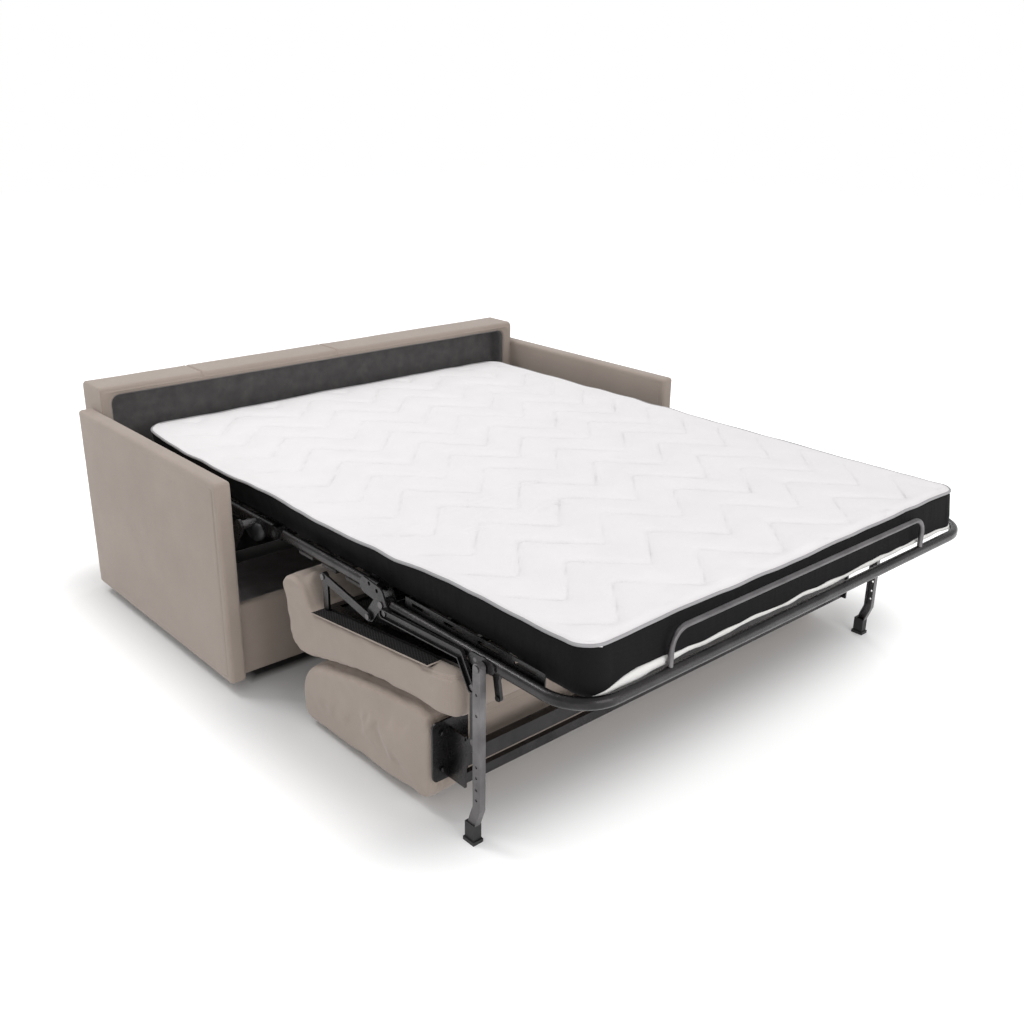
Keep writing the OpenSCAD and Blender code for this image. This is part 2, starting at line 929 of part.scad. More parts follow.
module leg_pins() {
    play = 0.2;
    reach = leg_x + leg_w + play - plate_x;
    color(black_c)
        both_sides() {
            translate([plate_x, leg_pivot[0], leg_pivot[1]])
                rotate([0, 90, 0]) {
                    cylinder(r = pin_r, h = reach + head_t);
                    translate([0, 0, reach])
                        cylinder(r = pin_r + head_grow, h = head_t);
                }
            translate([tube_in, leg_bracket_at()[0], leg_bracket_at()[1]])
                rotate([0, 90, 0])
                    cylinder(r = pin_r - 1, h = plate_x + plate_t - tube_in);
        }
}

// Spring links that hold the legs out, under the foot rails
module leg_locks() {
    x = tube_mid - 4;
    top = [leg_pivot[0] - 26, foot_z - tube_h / 2 - 2];
    low = top + [-8, -52];
    color(steel_c)
        both_sides() {
            difference() {
                across(x, 8)
                    strap(top + [0, -6], low, 16);
                translate([x - 1, top[0] - 20, foot_z - tube_h / 2])
                    cube([10, 40, 40]);
            }
            across(x + 8, 3)
                translate(low)
                    circle(r = 6);
            across(x, 8)
                translate([top[0] - 12, foot_z - tube_h / 2 - 10])
                    square([24, 10.0]);
        }
}

// Pressed channel leg with a crank above its shoe
leg_knee = [leg_pivot[0], 96];
leg_end = [leg_pivot[0] + leg_crank, 40];
module leg_outline(w) {
    strap(leg_pivot, leg_knee, w);
    strap(leg_knee, leg_end, w);
}
module leg() {
    holes = [60, 110, 235, 262, 292, 318];
    hole_r = 3.5;
    difference() {
        across(leg_x, leg_w)
            leg_outline(leg_depth);
        across(leg_x - leg_wall, leg_w)
            leg_outline(leg_depth - 2 * leg_wall);
        bore(leg_x, leg_w, leg_pivot, pin_r + pin_play);
        for (h = holes)
            bore(leg_x, leg_w, leg_pivot - [0, h], hole_r);
    }
}
module leg_left() {
    color(steel_c)
        mirror([1, 0, 0])
            leg();
}
module leg_right() {
    color(steel_c)
        leg();
}

// Moulded shoe on the leg's end
module leg_shoe() {
    shoe_h = 50;
    sole_h = 9;
    mid = [leg_x + leg_w / 2, leg_end[0]];
    difference() {
        translate([mid[0], mid[1], 0]) {
            translate([-leg_w / 2 - 6, -leg_depth / 2 - 6, 0])
                cube([leg_w + 12, leg_depth + 12, sole_h]);
            translate([-leg_w / 2 - 3, -leg_depth / 2 - 3, sole_h])
                cube([leg_w + 6, leg_depth + 6, shoe_h - sole_h]);
        }
        across(leg_x, leg_w)
            leg_outline(leg_depth);
    }
}
module leg_shoe_left() {
    color(black_c)
        mirror([1, 0, 0])
            leg_shoe();
}
module leg_shoe_right() {
    color(black_c)
        leg_shoe();
}

// Angle plate on the end of the back cushion, with the lug of its pivot
flange_t = 5;
lug_x = strap_x - link_t - 0.5;
plate_low = 100;
plate_high = 250;
bar_u = [back_pivot[0] + 54, 170];
bar_l = [back_pivot[0] + 54, 118];
module back_plate() {
    y = back_end_y - soft_gap - flange_t;
    r = 14;
    wide = 52;
    difference() {
        union() {
            translate([lug_x - wide, y, plate_low])
                cube([cushion_x - 4 - lug_x + wide - r, flange_t, plate_high - plate_low]);
            translate([cushion_x - 5 - r, y, plate_low + r])
                cube([r, flange_t, plate_high - plate_low - 2 * r]);
            for (z = [plate_low + r, plate_high - r])
                translate([cushion_x - 5 - r, y + flange_t, z])
                    rotate([90, 0, 0])
                        cylinder(r = r, h = flange_t);
            across(lug_x, link_t) {
                strap(back_pivot, bar_u + [-4, 20], 28);
                translate([bar_u[0] - 16, plate_low + 2])
                    square([y - bar_u[0] + 17, plate_high - plate_low - 20]);
            }
        }
        bore(lug_x, link_t, back_pivot, pin_r + pin_play);
    }
}
module back_plate_left() {
    color(steel_c)
        mirror([1, 0, 0])
            back_plate();
}
module back_plate_right() {
    color(steel_c)
        back_plate();
}

// Bars that join the two plates
module back_bar(p, d, h) {
    translate([-lug_x, p[0] - d / 2, p[1] - h / 2])
        cube([2 * lug_x, d, h]);
}
module back_bar_upper() {
    color(steel_c)
        back_bar(bar_u, 22, 39);
}
module back_bar_lower() {
    color(steel_c)
        back_bar(bar_l, 14, 26);
}

arm_left();
arm_right();
back_box();
back_recess_lining();
front_panel();
base_floor();
side_board_left();
side_board_right();
base_glides();
head_frame();
head_slats();
head_hinge_plates();
head_hinge_pins();
frame_struts();
strut_pins();
mattress_head();
mattress_head_fold();
middle_rail_left();
middle_rail_right();
middle_cross_tube();
middle_slats();
knee_plates();
knee_pins();
seat_arm_left();
seat_arm_right();
seat_links();
back_hinge_straps();
back_hinge_pins();
seat_rivets();
seat_frame();
seat_mesh();
seat_cushion();
mattress_middle();
mattress_foot_fold();
foot_frame();
foot_side_strips();
foot_slats();
mattress_hoop();
leg_brackets();
leg_pins();
leg_locks();
mattress_foot();
leg_left();
leg_right();
leg_shoe_left();
leg_shoe_right();
back_cushion();
back_plate_left();
back_plate_right();
back_bar_upper();
back_bar_lower();
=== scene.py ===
"""A slim two-seat sofa bed, opened out as a bed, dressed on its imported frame.

Every sub-assembly is a class with its own sizes, every finish is a frozen
dataclass that builds its material, and main() makes them in order. Lengths are
in metres, X runs across the sofa, +Y towards its back and +Z up.
"""

from __future__ import annotations

import json
import logging
import math
from dataclasses import dataclass, field
from enum import Enum
from typing import Callable, Sequence

import bmesh
import bpy
import numpy as np
from mathutils import Matrix, Vector, noise
from mathutils.bvhtree import BVHTree

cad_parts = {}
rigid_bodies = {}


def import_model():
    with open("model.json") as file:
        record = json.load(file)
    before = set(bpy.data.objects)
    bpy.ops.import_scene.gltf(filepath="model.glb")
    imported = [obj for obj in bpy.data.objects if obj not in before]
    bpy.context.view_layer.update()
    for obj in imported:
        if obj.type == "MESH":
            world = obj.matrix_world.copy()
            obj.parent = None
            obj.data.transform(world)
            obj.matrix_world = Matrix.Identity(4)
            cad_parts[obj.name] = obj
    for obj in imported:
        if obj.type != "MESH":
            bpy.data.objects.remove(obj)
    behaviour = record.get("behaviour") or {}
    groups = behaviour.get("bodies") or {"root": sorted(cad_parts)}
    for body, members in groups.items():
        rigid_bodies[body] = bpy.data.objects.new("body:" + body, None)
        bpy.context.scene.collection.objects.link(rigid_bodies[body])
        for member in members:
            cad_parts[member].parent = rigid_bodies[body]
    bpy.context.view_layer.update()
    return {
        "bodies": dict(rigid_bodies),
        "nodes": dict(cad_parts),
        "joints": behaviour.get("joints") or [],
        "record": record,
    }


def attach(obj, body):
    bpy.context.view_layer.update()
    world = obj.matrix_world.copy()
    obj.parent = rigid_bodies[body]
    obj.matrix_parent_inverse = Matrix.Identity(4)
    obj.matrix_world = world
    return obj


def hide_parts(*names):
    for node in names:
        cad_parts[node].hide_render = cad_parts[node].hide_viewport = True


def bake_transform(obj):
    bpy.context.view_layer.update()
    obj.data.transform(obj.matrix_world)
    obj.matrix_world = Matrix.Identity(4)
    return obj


LOG = logging.getLogger("sofa_bed")
KNEE = -1.424  # the foot hinge's place, from which the cushions are measured
QUARTER = math.pi / 2

Colour = tuple[float, float, float]
Row = tuple[float, float]
Spot = tuple[float, float, float]
Tree = bpy.types.NodeTree
Socket = bpy.types.NodeSocket
Material = bpy.types.Material
Object = bpy.types.Object


# Shader tools


class Sketch:
    """Short hand for laying out the nodes of one tree."""

    def __init__(self, tree: Tree) -> None:
        """Keeps the shader or geometry node tree."""
        self.tree = tree

    def feed(self, socket: Socket, value: object) -> None:
        """Links a socket to a socket, or sets its plain value.

        Args:
            socket: The input to fill.
            value: Another socket, or the value to set.
        """
        if isinstance(value, Socket):
            self.tree.links.new(value, socket)
        else:
            socket.default_value = value

    def node(self, kind: str, inputs: dict | None = None, **props: object) -> bpy.types.Node:
        """Adds one node.

        Args:
            kind: The node's type name.
            inputs: Values or sockets by input name or place.
            **props: The node's own properties.

        Returns:
            The new node.
        """
        made = self.tree.nodes.new(kind)
        for name, value in props.items():
            setattr(made, name, value)
        for name, value in (inputs or {}).items():
            self.feed(made.inputs[name], value)
        return made

    def math(self, operation: str, *values: object) -> Socket:
        """Adds a math node for an operation on up to three values or sockets."""
        return self.node("ShaderNodeMath", dict(enumerate(values)), operation=operation).outputs[0]

    def times(self, a: object, b: object) -> Socket:
        """Multiplies two values or sockets."""
        return self.math("MULTIPLY", a, b)

    def less(self, a: object, b: object) -> Socket:
        """Takes the second value or socket from the first."""
        return self.math("SUBTRACT", a, b)

    def mix(self, factor: object, a: object, b: object) -> Socket:
        """Mixes two colours.

        Args:
            factor: Share of b.
            a: First colour or socket.
            b: Second colour or socket.

        Returns:
            The mixed colour's socket.
        """
        made = self.node("ShaderNodeMix", data_type="RGBA", blend_type="MIX")
        self.feed(made.inputs[0], factor)
        for place, value in ((6, a), (7, b)):
            self.feed(made.inputs[place], value if isinstance(value, Socket) else (*value, 1.0))
        return made.outputs[2]

    def noise(
        self, vector: object, scale: float, detail: float = 2.0, rough: float = 0.5, twist: float = 0.0
    ) -> Socket:
        """Adds a noise texture.

        Args:
            vector: Where the noise is read.
            scale: Features per metre, roughly.
            detail: Octaves.
            rough: Roughness of the octaves.
            twist: Distortion.

        Returns:
            The noise value's socket.
        """
        inputs = {"Vector": vector, "Scale": scale, "Detail": detail, "Roughness": rough, "Distortion": twist}
        return self.node("ShaderNodeTexNoise", inputs).outputs["Fac"]

    def spread(
        self, value: object, low: float, high: float, to_low: float = 0.0, to_high: float = 1.0
    ) -> Socket:
        """Maps one range to another and clamps it.

        Args:
            value: Value or socket.
            low: Start of the range.
            high: End of the range.
            to_low: Result at the start.
            to_high: Result at the end.

        Returns:
            The mapped value's socket.
        """
        inputs = dict(enumerate((value, low, high, to_low, to_high)))
        return self.node("ShaderNodeMapRange", inputs).outputs[0]

    def scaled(self, vector: Socket, size: object) -> Socket:
        """Scales a vector by a value or socket."""
        made = self.node("ShaderNodeVectorMath", {0: vector, "Scale": size}, operation="SCALE")
        return made.outputs[0]

    def stretched(self, vector: Socket, scale: Spot) -> Socket:
        """Scales a vector by its own factor along each axis."""
        return self.node("ShaderNodeMapping", {"Vector": vector, "Scale": scale}).outputs[0]


class Effect(Enum):
    """Shader effects that more than one finish uses."""

    WEAVE = "thread_weave"
    MOTTLE = "tone_mottle"
    FIBRE = "felt_fibre"
    RUB = "handling_rub"
    HONEYCOMB = "honeycomb_cells"


class EffectLibrary:
    """Builds each shared effect once, as a node group with named sockets."""

    def __init__(self) -> None:
        """Starts with no group built."""
        self._made: dict[Effect, Tree] = {}

    def place(self, sketch: Sketch, effect: Effect, values: dict[str, object]) -> bpy.types.Node:
        """Puts an effect into a material.

        Args:
            sketch: The material's sketch.
            effect: The effect wanted.
            values: Inputs by name.

        Returns:
            The group node.
        """
        if effect not in self._made:
            tree = bpy.data.node_groups.new(effect.value, "ShaderNodeTree")
            makers = {
                Effect.WEAVE: self._weave,
                Effect.MOTTLE: self._mottle,
                Effect.FIBRE: self._fibre,
                Effect.RUB: self._rub,
                Effect.HONEYCOMB: self._honeycomb,
            }
            makers[effect](tree)
            self._made[effect] = tree
        made = sketch.node("ShaderNodeGroup", node_tree=self._made[effect])
        for name, value in values.items():
            sketch.feed(made.inputs[name], value)
        return made

    @staticmethod
    def _open(tree: Tree, inputs: dict[str, float], outputs: Sequence[str]) -> tuple[Sketch, dict, dict]:
        """Declares a group's sockets: a Vector, some values in and some values out.

        Args:
            tree: The group's tree.
            inputs: Default by name of each value input.
            outputs: Names of the value outputs.

        Returns:
            The tree's sketch, the sockets to read and the sockets to feed.
        """
        tree.interface.new_socket("Vector", in_out="INPUT", socket_type="NodeSocketVector")
        for name, value in inputs.items():
            made = tree.interface.new_socket(name, in_out="INPUT", socket_type="NodeSocketFloat")
            made.default_value = value
        for name in outputs:
            tree.interface.new_socket(name, in_out="OUTPUT", socket_type="NodeSocketFloat")
        s = Sketch(tree)
        return s, s.node("NodeGroupInput").outputs, s.node("NodeGroupOutput").inputs

    def _weave(self, tree: Tree) -> None:
        """Plain weave that shows on every side of a piece: crossed threads with slubs."""
        s, take, give = self._open(tree, {"Threads": 700.0, "Slub": 0.4}, ("Height", "Shade"))
        wobble = s.node("ShaderNodeTexNoise", {"Vector": take["Vector"], "Scale": 45.0, "Detail": 1.0})
        sway = (0.0022, 0.0022, 0.0022)
        inputs = {0: wobble.outputs["Color"], 1: sway, 2: take["Vector"]}
        bent = s.node("ShaderNodeVectorMath", inputs, operation="MULTIPLY_ADD")
        parts = s.node("ShaderNodeSeparateXYZ", {0: bent.outputs[0]}).outputs
        turn = s.times(take["Threads"], math.pi)
        x, y, z = (s.math("SINE", s.times(parts[i], turn)) for i in range(3))
        crossed = s.math("MULTIPLY_ADD", z, x, s.math("MULTIPLY_ADD", y, z, s.times(x, y)))
        slub = s.less(s.noise(take["Vector"], 260.0, 3.0, 0.7), 0.5)
        height = s.math("MULTIPLY_ADD", slub, take["Slub"], s.math("MULTIPLY_ADD", crossed, 0.3, 0.5))
        s.feed(give["Height"], height)
        s.feed(give["Shade"], s.spread(height, 0.15, 0.85))

    def _mottle(self, tree: Tree) -> None:
        """Slow changes of tone over a piece, from handling and from the dye."""
        s, take, give = self._open(tree, {"Size": 4.0}, ("Tone", "Speck"))
        place = s.scaled(take["Vector"], take["Size"])
        s.feed(give["Tone"], s.spread(s.noise(place, 1.0, 4.0, 0.6), 0.3, 0.7))
        s.feed(give["Speck"], s.spread(s.noise(place, 90.0, 2.0, 0.6), 0.35, 0.65))

    def _fibre(self, tree: Tree) -> None:
        """Short tangled fibres, as in needle felt."""
        s, take, give = self._open(tree, {"Scale": 500.0}, ("Height", "Shade"))
        place = s.scaled(take["Vector"], take["Scale"])
        curl = s.noise(place, 1.0, 4.0, 0.75, 2.5)
        clump = s.noise(place, 0.08, 3.0, 0.6)
        s.feed(give["Height"], s.math("MULTIPLY_ADD", clump, 0.6, curl))
        s.feed(give["Shade"], s.spread(s.math("MULTIPLY_ADD", clump, 0.8, curl), 0.5, 1.3))

    def _rub(self, tree: Tree) -> None:
        """Fine scratches and dull patches of handled metal or plastic."""
        s, take, give = self._open(tree, {"Size": 30.0}, ("Scratch", "Dull"))
        place = s.scaled(take["Vector"], take["Size"])
        along = s.stretched(place, (9.0, 0.7, 9.0))
        s.feed(give["Scratch"], s.spread(s.noise(along, 3.0, 3.0, 0.7), 0.62, 0.74))
        s.feed(give["Dull"], s.spread(s.noise(place, 0.6, 4.0, 0.65), 0.35, 0.7))

    def _honeycomb(self, tree: Tree) -> None:
        """Six-sided cells in the XY plane: Wall is 1 on the threads and 0 in the holes."""
        s, take, give = self._open(tree, {"Cell": 0.008, "Thread": 0.32}, ("Wall", "Depth"))
        root3 = math.sqrt(3.0)
        size = s.scaled(take["Vector"], s.math("DIVIDE", 1.0, take["Cell"]))
        parts = s.node("ShaderNodeSeparateXYZ", {0: size}).outputs
        reach = []

        def off_centre(place: Socket, shift: float, span: float) -> Socket:
            """How far a place lies from the middle of its repeat."""
            within = s.math("FLOORED_MODULO", s.math("ADD", place, shift * span), span)
            return s.math("ABSOLUTE", s.less(within, span / 2))

        for shift in (0.0, 0.5):
            x, y = (off_centre(parts[i], shift, span) for i, span in enumerate((1.0, root3)))
            slant = s.math("MULTIPLY_ADD", x, 0.5, s.times(y, root3 / 2))
            reach.append(s.math("MAXIMUM", x, slant))
        near = s.math("MINIMUM", *reach)
        edge = s.less(0.5, s.times(take["Thread"], 0.5))
        s.feed(give["Wall"], s.spread(s.less(near, edge), -0.03, 0.03))
        s.feed(give["Depth"], s.spread(near, 0.2, 0.5))


EFFECTS = EffectLibrary()


class Paint:
    """One material on its way to being finished."""

    def __init__(self, name: str) -> None:
        """Starts an empty material with its surface shader.

        Args:
            name: The material's name.
        """
        self.material = bpy.data.materials.new(name)
        self.material.use_nodes = True
        tree = self.material.node_tree
        tree.nodes.clear()
        self.sketch = Sketch(tree)
        self.shader = tree.nodes.new("ShaderNodeBsdfPrincipled")
        self.sketch.node("ShaderNodeOutputMaterial", {"Surface": self.shader.outputs[0]})
        self.place = tree.nodes.new("ShaderNodeTexCoord").outputs["Object"]

    def effect(self, effect: Effect, **values: object) -> bpy.types.bpy_prop_collection:
        """Places a shared effect on the object's own coordinates and gives its outputs."""
        return EFFECTS.place(self.sketch, effect, {"Vector": self.place, **values}).outputs

    def toned(self, factor: Socket, share: float, a: object, b: object) -> Socket:
        """Mixes two colours by a share of a factor.

        Args:
            factor: The factor, 0 to 1.
            share: How much of it counts.
            a: Colour where it is 0.
            b: Colour towards which it goes.

        Returns:
            The mixed colour's socket.
        """
        return self.sketch.mix(self.sketch.times(factor, share), a, b)

    def rough(self, value: Socket, at_low: float, at_high: float) -> None:
        """Sets the roughness from a value of 0 to 1."""
        self.set(Roughness=self.sketch.spread(value, 0.0, 1.0, at_low, at_high))

    def set(self, **values: object) -> None:
        """Sets inputs of the surface shader, named with _ for a space."""
        for name, value in values.items():
            self.sketch.feed(self.shader.inputs[name.replace("_", " ")], value)

    def soft(self, weight: float, roughness: float, specular: float) -> None:
        """Sets the sheen and the weak gloss of cloth."""
        self.set(Sheen_Weight=weight, Sheen_Roughness=roughness, Specular_IOR_Level=specular)

    def bump(self, height: Socket, depth: float, under: Socket | None = None) -> Socket:
        """Adds a bump that feeds the surface's normal.

        Args:
            height: Height, 0 to 1.
            depth: Depth of the relief in metres.
            under: Normal of a bump below this one.

        Returns:
            The bump's normal, for another one above.
        """
        made = self.sketch.node("ShaderNodeBump", {"Height": height, "Distance": depth, "Strength": 1.0})
        if under is not None:
            self.sketch.feed(made.inputs["Normal"], under)
        self.sketch.feed(self.shader.inputs["Normal"], made.outputs[0])
        return made.outputs[0]


# Finishes


@dataclass(frozen=True)
class TwoTone:
    """What every finish starts from: a name, a light tone and a dark tone."""

    name: str
    light: Colour
    dark: Colour


@dataclass(frozen=True)
class WovenCloth(TwoTone):
    """Flat woven upholstery cloth over foam."""

    threads: float = 620.0
    relief: float = 0.0004
    sheen: float = 0.25

    def build(self) -> Material:
        """Builds the material."""
        p = Paint(self.name)
        weave = p.effect(Effect.WEAVE, Threads=self.threads, Slub=0.5)
        tone = p.effect(Effect.MOTTLE, Size=5.0)
        base = p.toned(tone["Tone"], 0.35, self.light, self.dark)
        base = p.toned(p.sketch.less(1.0, weave["Shade"]), 0.38, base, self.dark)
        p.set(Base_Color=p.toned(tone["Speck"], 0.10, base, self.light))
        p.rough(weave["Shade"], 0.96, 0.84)
        p.soft(self.sheen, 0.45, 0.25)
        p.bump(weave["Height"], self.relief, p.bump(tone["Tone"], 0.0008))
        return p.material


@dataclass(frozen=True)
class NeedleFelt(TwoTone):
    """Grey needle felt that lines the recess and the well."""

    def build(self) -> Material:
        """Builds the material."""
        p = Paint(self.name)
        fibre = p.effect(Effect.FIBRE, Scale=300.0)
        tone = p.effect(Effect.MOTTLE, Size=22.0)
        base = p.sketch.mix(fibre["Shade"], self.dark, self.light)
        p.set(Base_Color=p.toned(tone["Tone"], 0.45, base, self.dark))
        p.rough(fibre["Shade"], 0.98, 0.88)
        p.soft(0.35, 0.5, 0.15)
        p.bump(fibre["Height"], 0.0009)
        return p.material


@dataclass(frozen=True)
class KnitTicking(TwoTone):
    """White knitted mattress cover with a soft rib, with painted shade deep in the quilting grooves."""

    stitches: float = 420.0
    painted_groove_share: float = 0.16

    def build(self) -> Material:
        """Builds the material."""
        p = Paint(self.name)
        weave = p.effect(Effect.WEAVE, Threads=self.stitches, Slub=0.25)
        tone = p.effect(Effect.MOTTLE, Size=7.0)
        base = p.toned(tone["Tone"], 0.25, self.light, self.dark)
        base = p.toned(p.sketch.less(1.0, weave["Shade"]), 0.2, base, self.dark)
        # Painted shade: the cover darkens where a point lies deep in a quilting groove.
        painted_groove_shade = p.sketch.node("ShaderNodeAttribute", attribute_name="painted_groove_shade").outputs["Fac"]
        p.set(Base_Color=p.toned(painted_groove_shade, self.painted_groove_share, base, self.dark))
        p.rough(tone["Tone"], 0.82, 0.93)
        p.soft(0.2, 0.4, 0.3)
        p.bump(weave["Height"], 0.0003, p.bump(p.sketch.noise(p.place, 60.0, 3.0, 0.6), 0.0009))
        return p.material


@dataclass(frozen=True)
class BorderCloth(TwoTone):
    """Near-black mattress border with a fine knit and slow puckers."""

    def build(self) -> Material:
        """Builds the material."""
        p = Paint(self.name)
        weave = p.effect(Effect.WEAVE, Threads=900.0, Slub=0.2)
        pucker = p.sketch.noise(p.sketch.stretched(p.place, (26.0, 26.0, 6.0)), 1.0, 2.0, 0.5)
        p.set(Base_Color=p.toned(weave["Shade"], 0.6, self.dark, self.light))
        p.rough(weave["Shade"], 0.75, 0.9)
        p.soft(0.02, 0.4, 0.18)
        p.bump(weave["Height"], 0.0003, p.bump(pucker, 0.003))
        return p.material


@dataclass(frozen=True)
class HoneycombCloth(TwoTone):
    """Black spacer mesh with six-sided holes, on the seat's underside."""

    cell: float = 0.0068

    def build(self) -> Material:
        """Builds the material."""
        p = Paint(self.name)
        comb = p.effect(Effect.HONEYCOMB, Cell=self.cell, Thread=0.34)
        fuzz = p.effect(Effect.FIBRE, Scale=700.0)
        thread = p.toned(fuzz["Shade"], 0.5, self.light, self.dark)
        # Painted shade: the holes take the darker tone, as the shade inside the cells.
        p.set(Base_Color=p.sketch.mix(comb["Wall"], self.dark, thread), Specular_IOR_Level=0.35)
        p.rough(comb["Wall"], 0.95, 0.6)
        p.bump(comb["Depth"], 0.0016)
        return p.material


@dataclass(frozen=True)
class SatinSteel(TwoTone):
    """Gunmetal satin coat on steel tube and strip."""

    shine: float = 0.34
    metal: float = 0.85

    def build(self) -> Material:
        """Builds the material."""
        p = Paint(self.name)
        rub = p.effect(Effect.RUB, Size=22.0)
        tone = p.effect(Effect.MOTTLE, Size=14.0)
        base = p.sketch.mix(tone["Tone"], self.light, self.dark)
        p.set(Base_Color=p.toned(rub["Scratch"], 0.35, base, self.light))
        p.set(Metallic=self.metal, Coat_Weight=0.22, Coat_Roughness=0.16)
        p.rough(rub["Dull"], self.shine, self.shine + 0.16)
        p.bump(tone["Speck"], 0.00010)
        return p.material


@dataclass(frozen=True)
class MouldedPlastic(TwoTone):
    """Black moulded plastic with a fine spark-eroded grain."""

    def build(self) -> Material:
        """Builds the material."""
        p = Paint(self.name)
        rub = p.effect(Effect.RUB, Size=40.0)
        base = p.toned(rub["Dull"], 0.5, self.dark, self.light)
        p.set(Base_Color=p.toned(rub["Scratch"], 0.4, base, self.light))
        p.rough(rub["Dull"], 0.42, 0.6)
        p.bump(p.sketch.noise(p.place, 900.0, 2.0, 0.6), 0.0002)
        return p.material


@dataclass(frozen=True)
class BentPly(TwoTone):
    """Bent plywood of the slats, near black as painted shade under the mattress, with its grain along X."""

    def build(self) -> Material:
        """Builds the material."""
        p = Paint(self.name)
        s = p.sketch
        grain = s.noise(s.stretched(p.place, (2.5, 70.0, 70.0)), 1.0, 5.0, 0.65)
        pore = s.spread(s.noise(s.stretched(p.place, (18.0, 900.0, 900.0)), 1.0, 2.0, 0.5), 0.56, 0.7)
        base = s.mix(s.spread(grain, 0.3, 0.7), self.light, self.dark)
        p.set(Base_Color=p.toned(pore, 0.4, base, self.dark), Roughness=s.spread(grain, 0.3, 0.7, 0.5, 0.68))
        p.bump(grain, 0.0004)
        return p.material


@dataclass(frozen=True)
class StudioFloor:
    """Pale matt floor that keeps the shadow and is near white for the camera."""

    name: str = "pale_floor"
    colour: Colour = (0.80, 0.80, 0.80)
    # Painted light: the glow whitens the floor for the camera and in reflections, fading out around the
    # footprint given below.
    glow: float = 0.60
    # Colour of the painted contact shadow under the sofa's base.
    painted_shadow_colour: Colour = (0.10, 0.10, 0.10)
    middle_y: float = -0.785
    half: Row = (0.80, 0.835)
    reach: Row = (0.02, 0.36)
    # Rectangle under the sofa's base that the painted contact shadow fills.
    painted_shadow_middle_y: float = -0.40
    painted_shadow_half: Row = (0.78, 0.43)

    def build(self) -> Material:
        """Builds the material: it glows less the nearer it is to the sofa's footprint, and its colour turns
        dark under the base as a painted shadow.
        """
        p = Paint(self.name)
        s = p.sketch
        parts = s.node("ShaderNodeSeparateXYZ", {0: p.place}).outputs

        def past(middle_y: float, half: Row) -> list[Socket]:
            """How far a point lies past each side of a rectangle about the Y axis."""
            spots = (parts[0], s.less(parts[1], middle_y))
            return [s.less(s.math("ABSOLUTE", v), h) for v, h in zip(spots, half)]

        # Painted light: for camera and reflection rays the floor glows white, and the glow fades out near the
        # sofa's footprint, so the floor keeps a darker pool of the footprint's shape.
        x, y = (s.math("MAXIMUM", v, 0.0) for v in past(self.middle_y, self.half))
        away = s.math("SQRT", s.math("MULTIPLY_ADD", x, x, s.times(y, y)))
        t = s.spread(away, *self.reach)
        ease = s.times(s.times(t, t), s.math("MULTIPLY_ADD", t, -2.0, 3.0))
        # Painted shadow: the floor's colour turns dark inside the rectangle under the base.
        clear = s.spread(s.math("MAXIMUM", *past(self.painted_shadow_middle_y, self.painted_shadow_half)), -0.02, 0.02)
        rays = s.node("ShaderNodeLightPath").outputs
        seen = s.math("MAXIMUM", rays["Is Camera Ray"], rays["Is Glossy Ray"])
        p.set(Base_Color=s.mix(clear, self.painted_shadow_colour, self.colour), Roughness=0.9, Specular_IOR_Level=0.1)
        p.set(Emission_Color=(1.0, 1.0, 1.0, 1.0), Emission_Strength=s.times(seen, s.times(ease, self.glow)))
        return p.material


def dyed(kind: type, *values: object) -> Material:
    """Field whose default is a finish of some kind, built when the wardrobe is."""
    return field(default_factory=kind(*values).build)


@dataclass
class Wardrobe:
    """Every finish of the sofa bed, built once."""

    cloth: Material = dyed(WovenCloth, "greige_cloth", (0.436, 0.366, 0.318), (0.296, 0.243, 0.207))
    seam: Material = dyed(WovenCloth, "greige_thread", (0.56, 0.49, 0.44), (0.38, 0.32, 0.28), 1500.0, 0.0002)
    felt: Material = dyed(NeedleFelt, "grey_felt", (0.205, 0.196, 0.193), (0.080, 0.076, 0.076))
    ticking: Material = dyed(KnitTicking, "white_ticking", (0.885, 0.865, 0.870), (0.760, 0.735, 0.745))
    border: Material = dyed(BorderCloth, "black_border", (0.0085, 0.0080, 0.0090), (0.0030, 0.0028, 0.0032))
    # Painted shade: the white tape is coloured grey, as in the shadow of the overhanging top.
    tape: Material = dyed(KnitTicking, "white_tape_painted_shade", (0.42, 0.41, 0.42), (0.20, 0.20, 0.205), 900.0)
    hem: Material = dyed(KnitTicking, "white_hem", (0.80, 0.79, 0.77), (0.58, 0.57, 0.55), 900.0)
    mesh: Material = dyed(HoneycombCloth, "black_honeycomb", (0.021, 0.019, 0.019), (0.0045, 0.0040, 0.0040))
    steel: Material = dyed(
        SatinSteel, "gunmetal_steel", (0.040, 0.037, 0.038), (0.015, 0.014, 0.0145), 0.19, 0.85
    )
    # Painted reflection: a lighter copy of the gunmetal steel for the legs and the hoop, standing in for the
    # bright floor they reflect.
    leg_steel: Material = dyed(
        SatinSteel, "leg_steel", (0.180, 0.172, 0.176), (0.090, 0.085, 0.088), 0.30, 0.8
    )
    pins: Material = dyed(SatinSteel, "zinc_pin", (0.150, 0.145, 0.146), (0.070, 0.067, 0.068), 0.22, 0.9)
    # Painted light: a much lighter copy of the grey felt for the base's floor and side boards, so the dim
    # well reads as lit.
    liner: Material = dyed(NeedleFelt, "felt_lining_painted_light", (0.52, 0.50, 0.505), (0.30, 0.288, 0.292))
    plastic: Material = dyed(MouldedPlastic, "black_plastic", (0.016, 0.016, 0.017), (0.006, 0.006, 0.0065))
    # Painted shade: the slats are coloured near black, as the shade under the mattress.
    ply: Material = dyed(BentPly, "painted_shade_ply", (0.036, 0.032, 0.029), (0.014, 0.012, 0.011))


# Mesh tools


def unit(value: float) -> float:
    """Holds a value between 0 and 1."""
    return min(1.0, max(0.0, value))


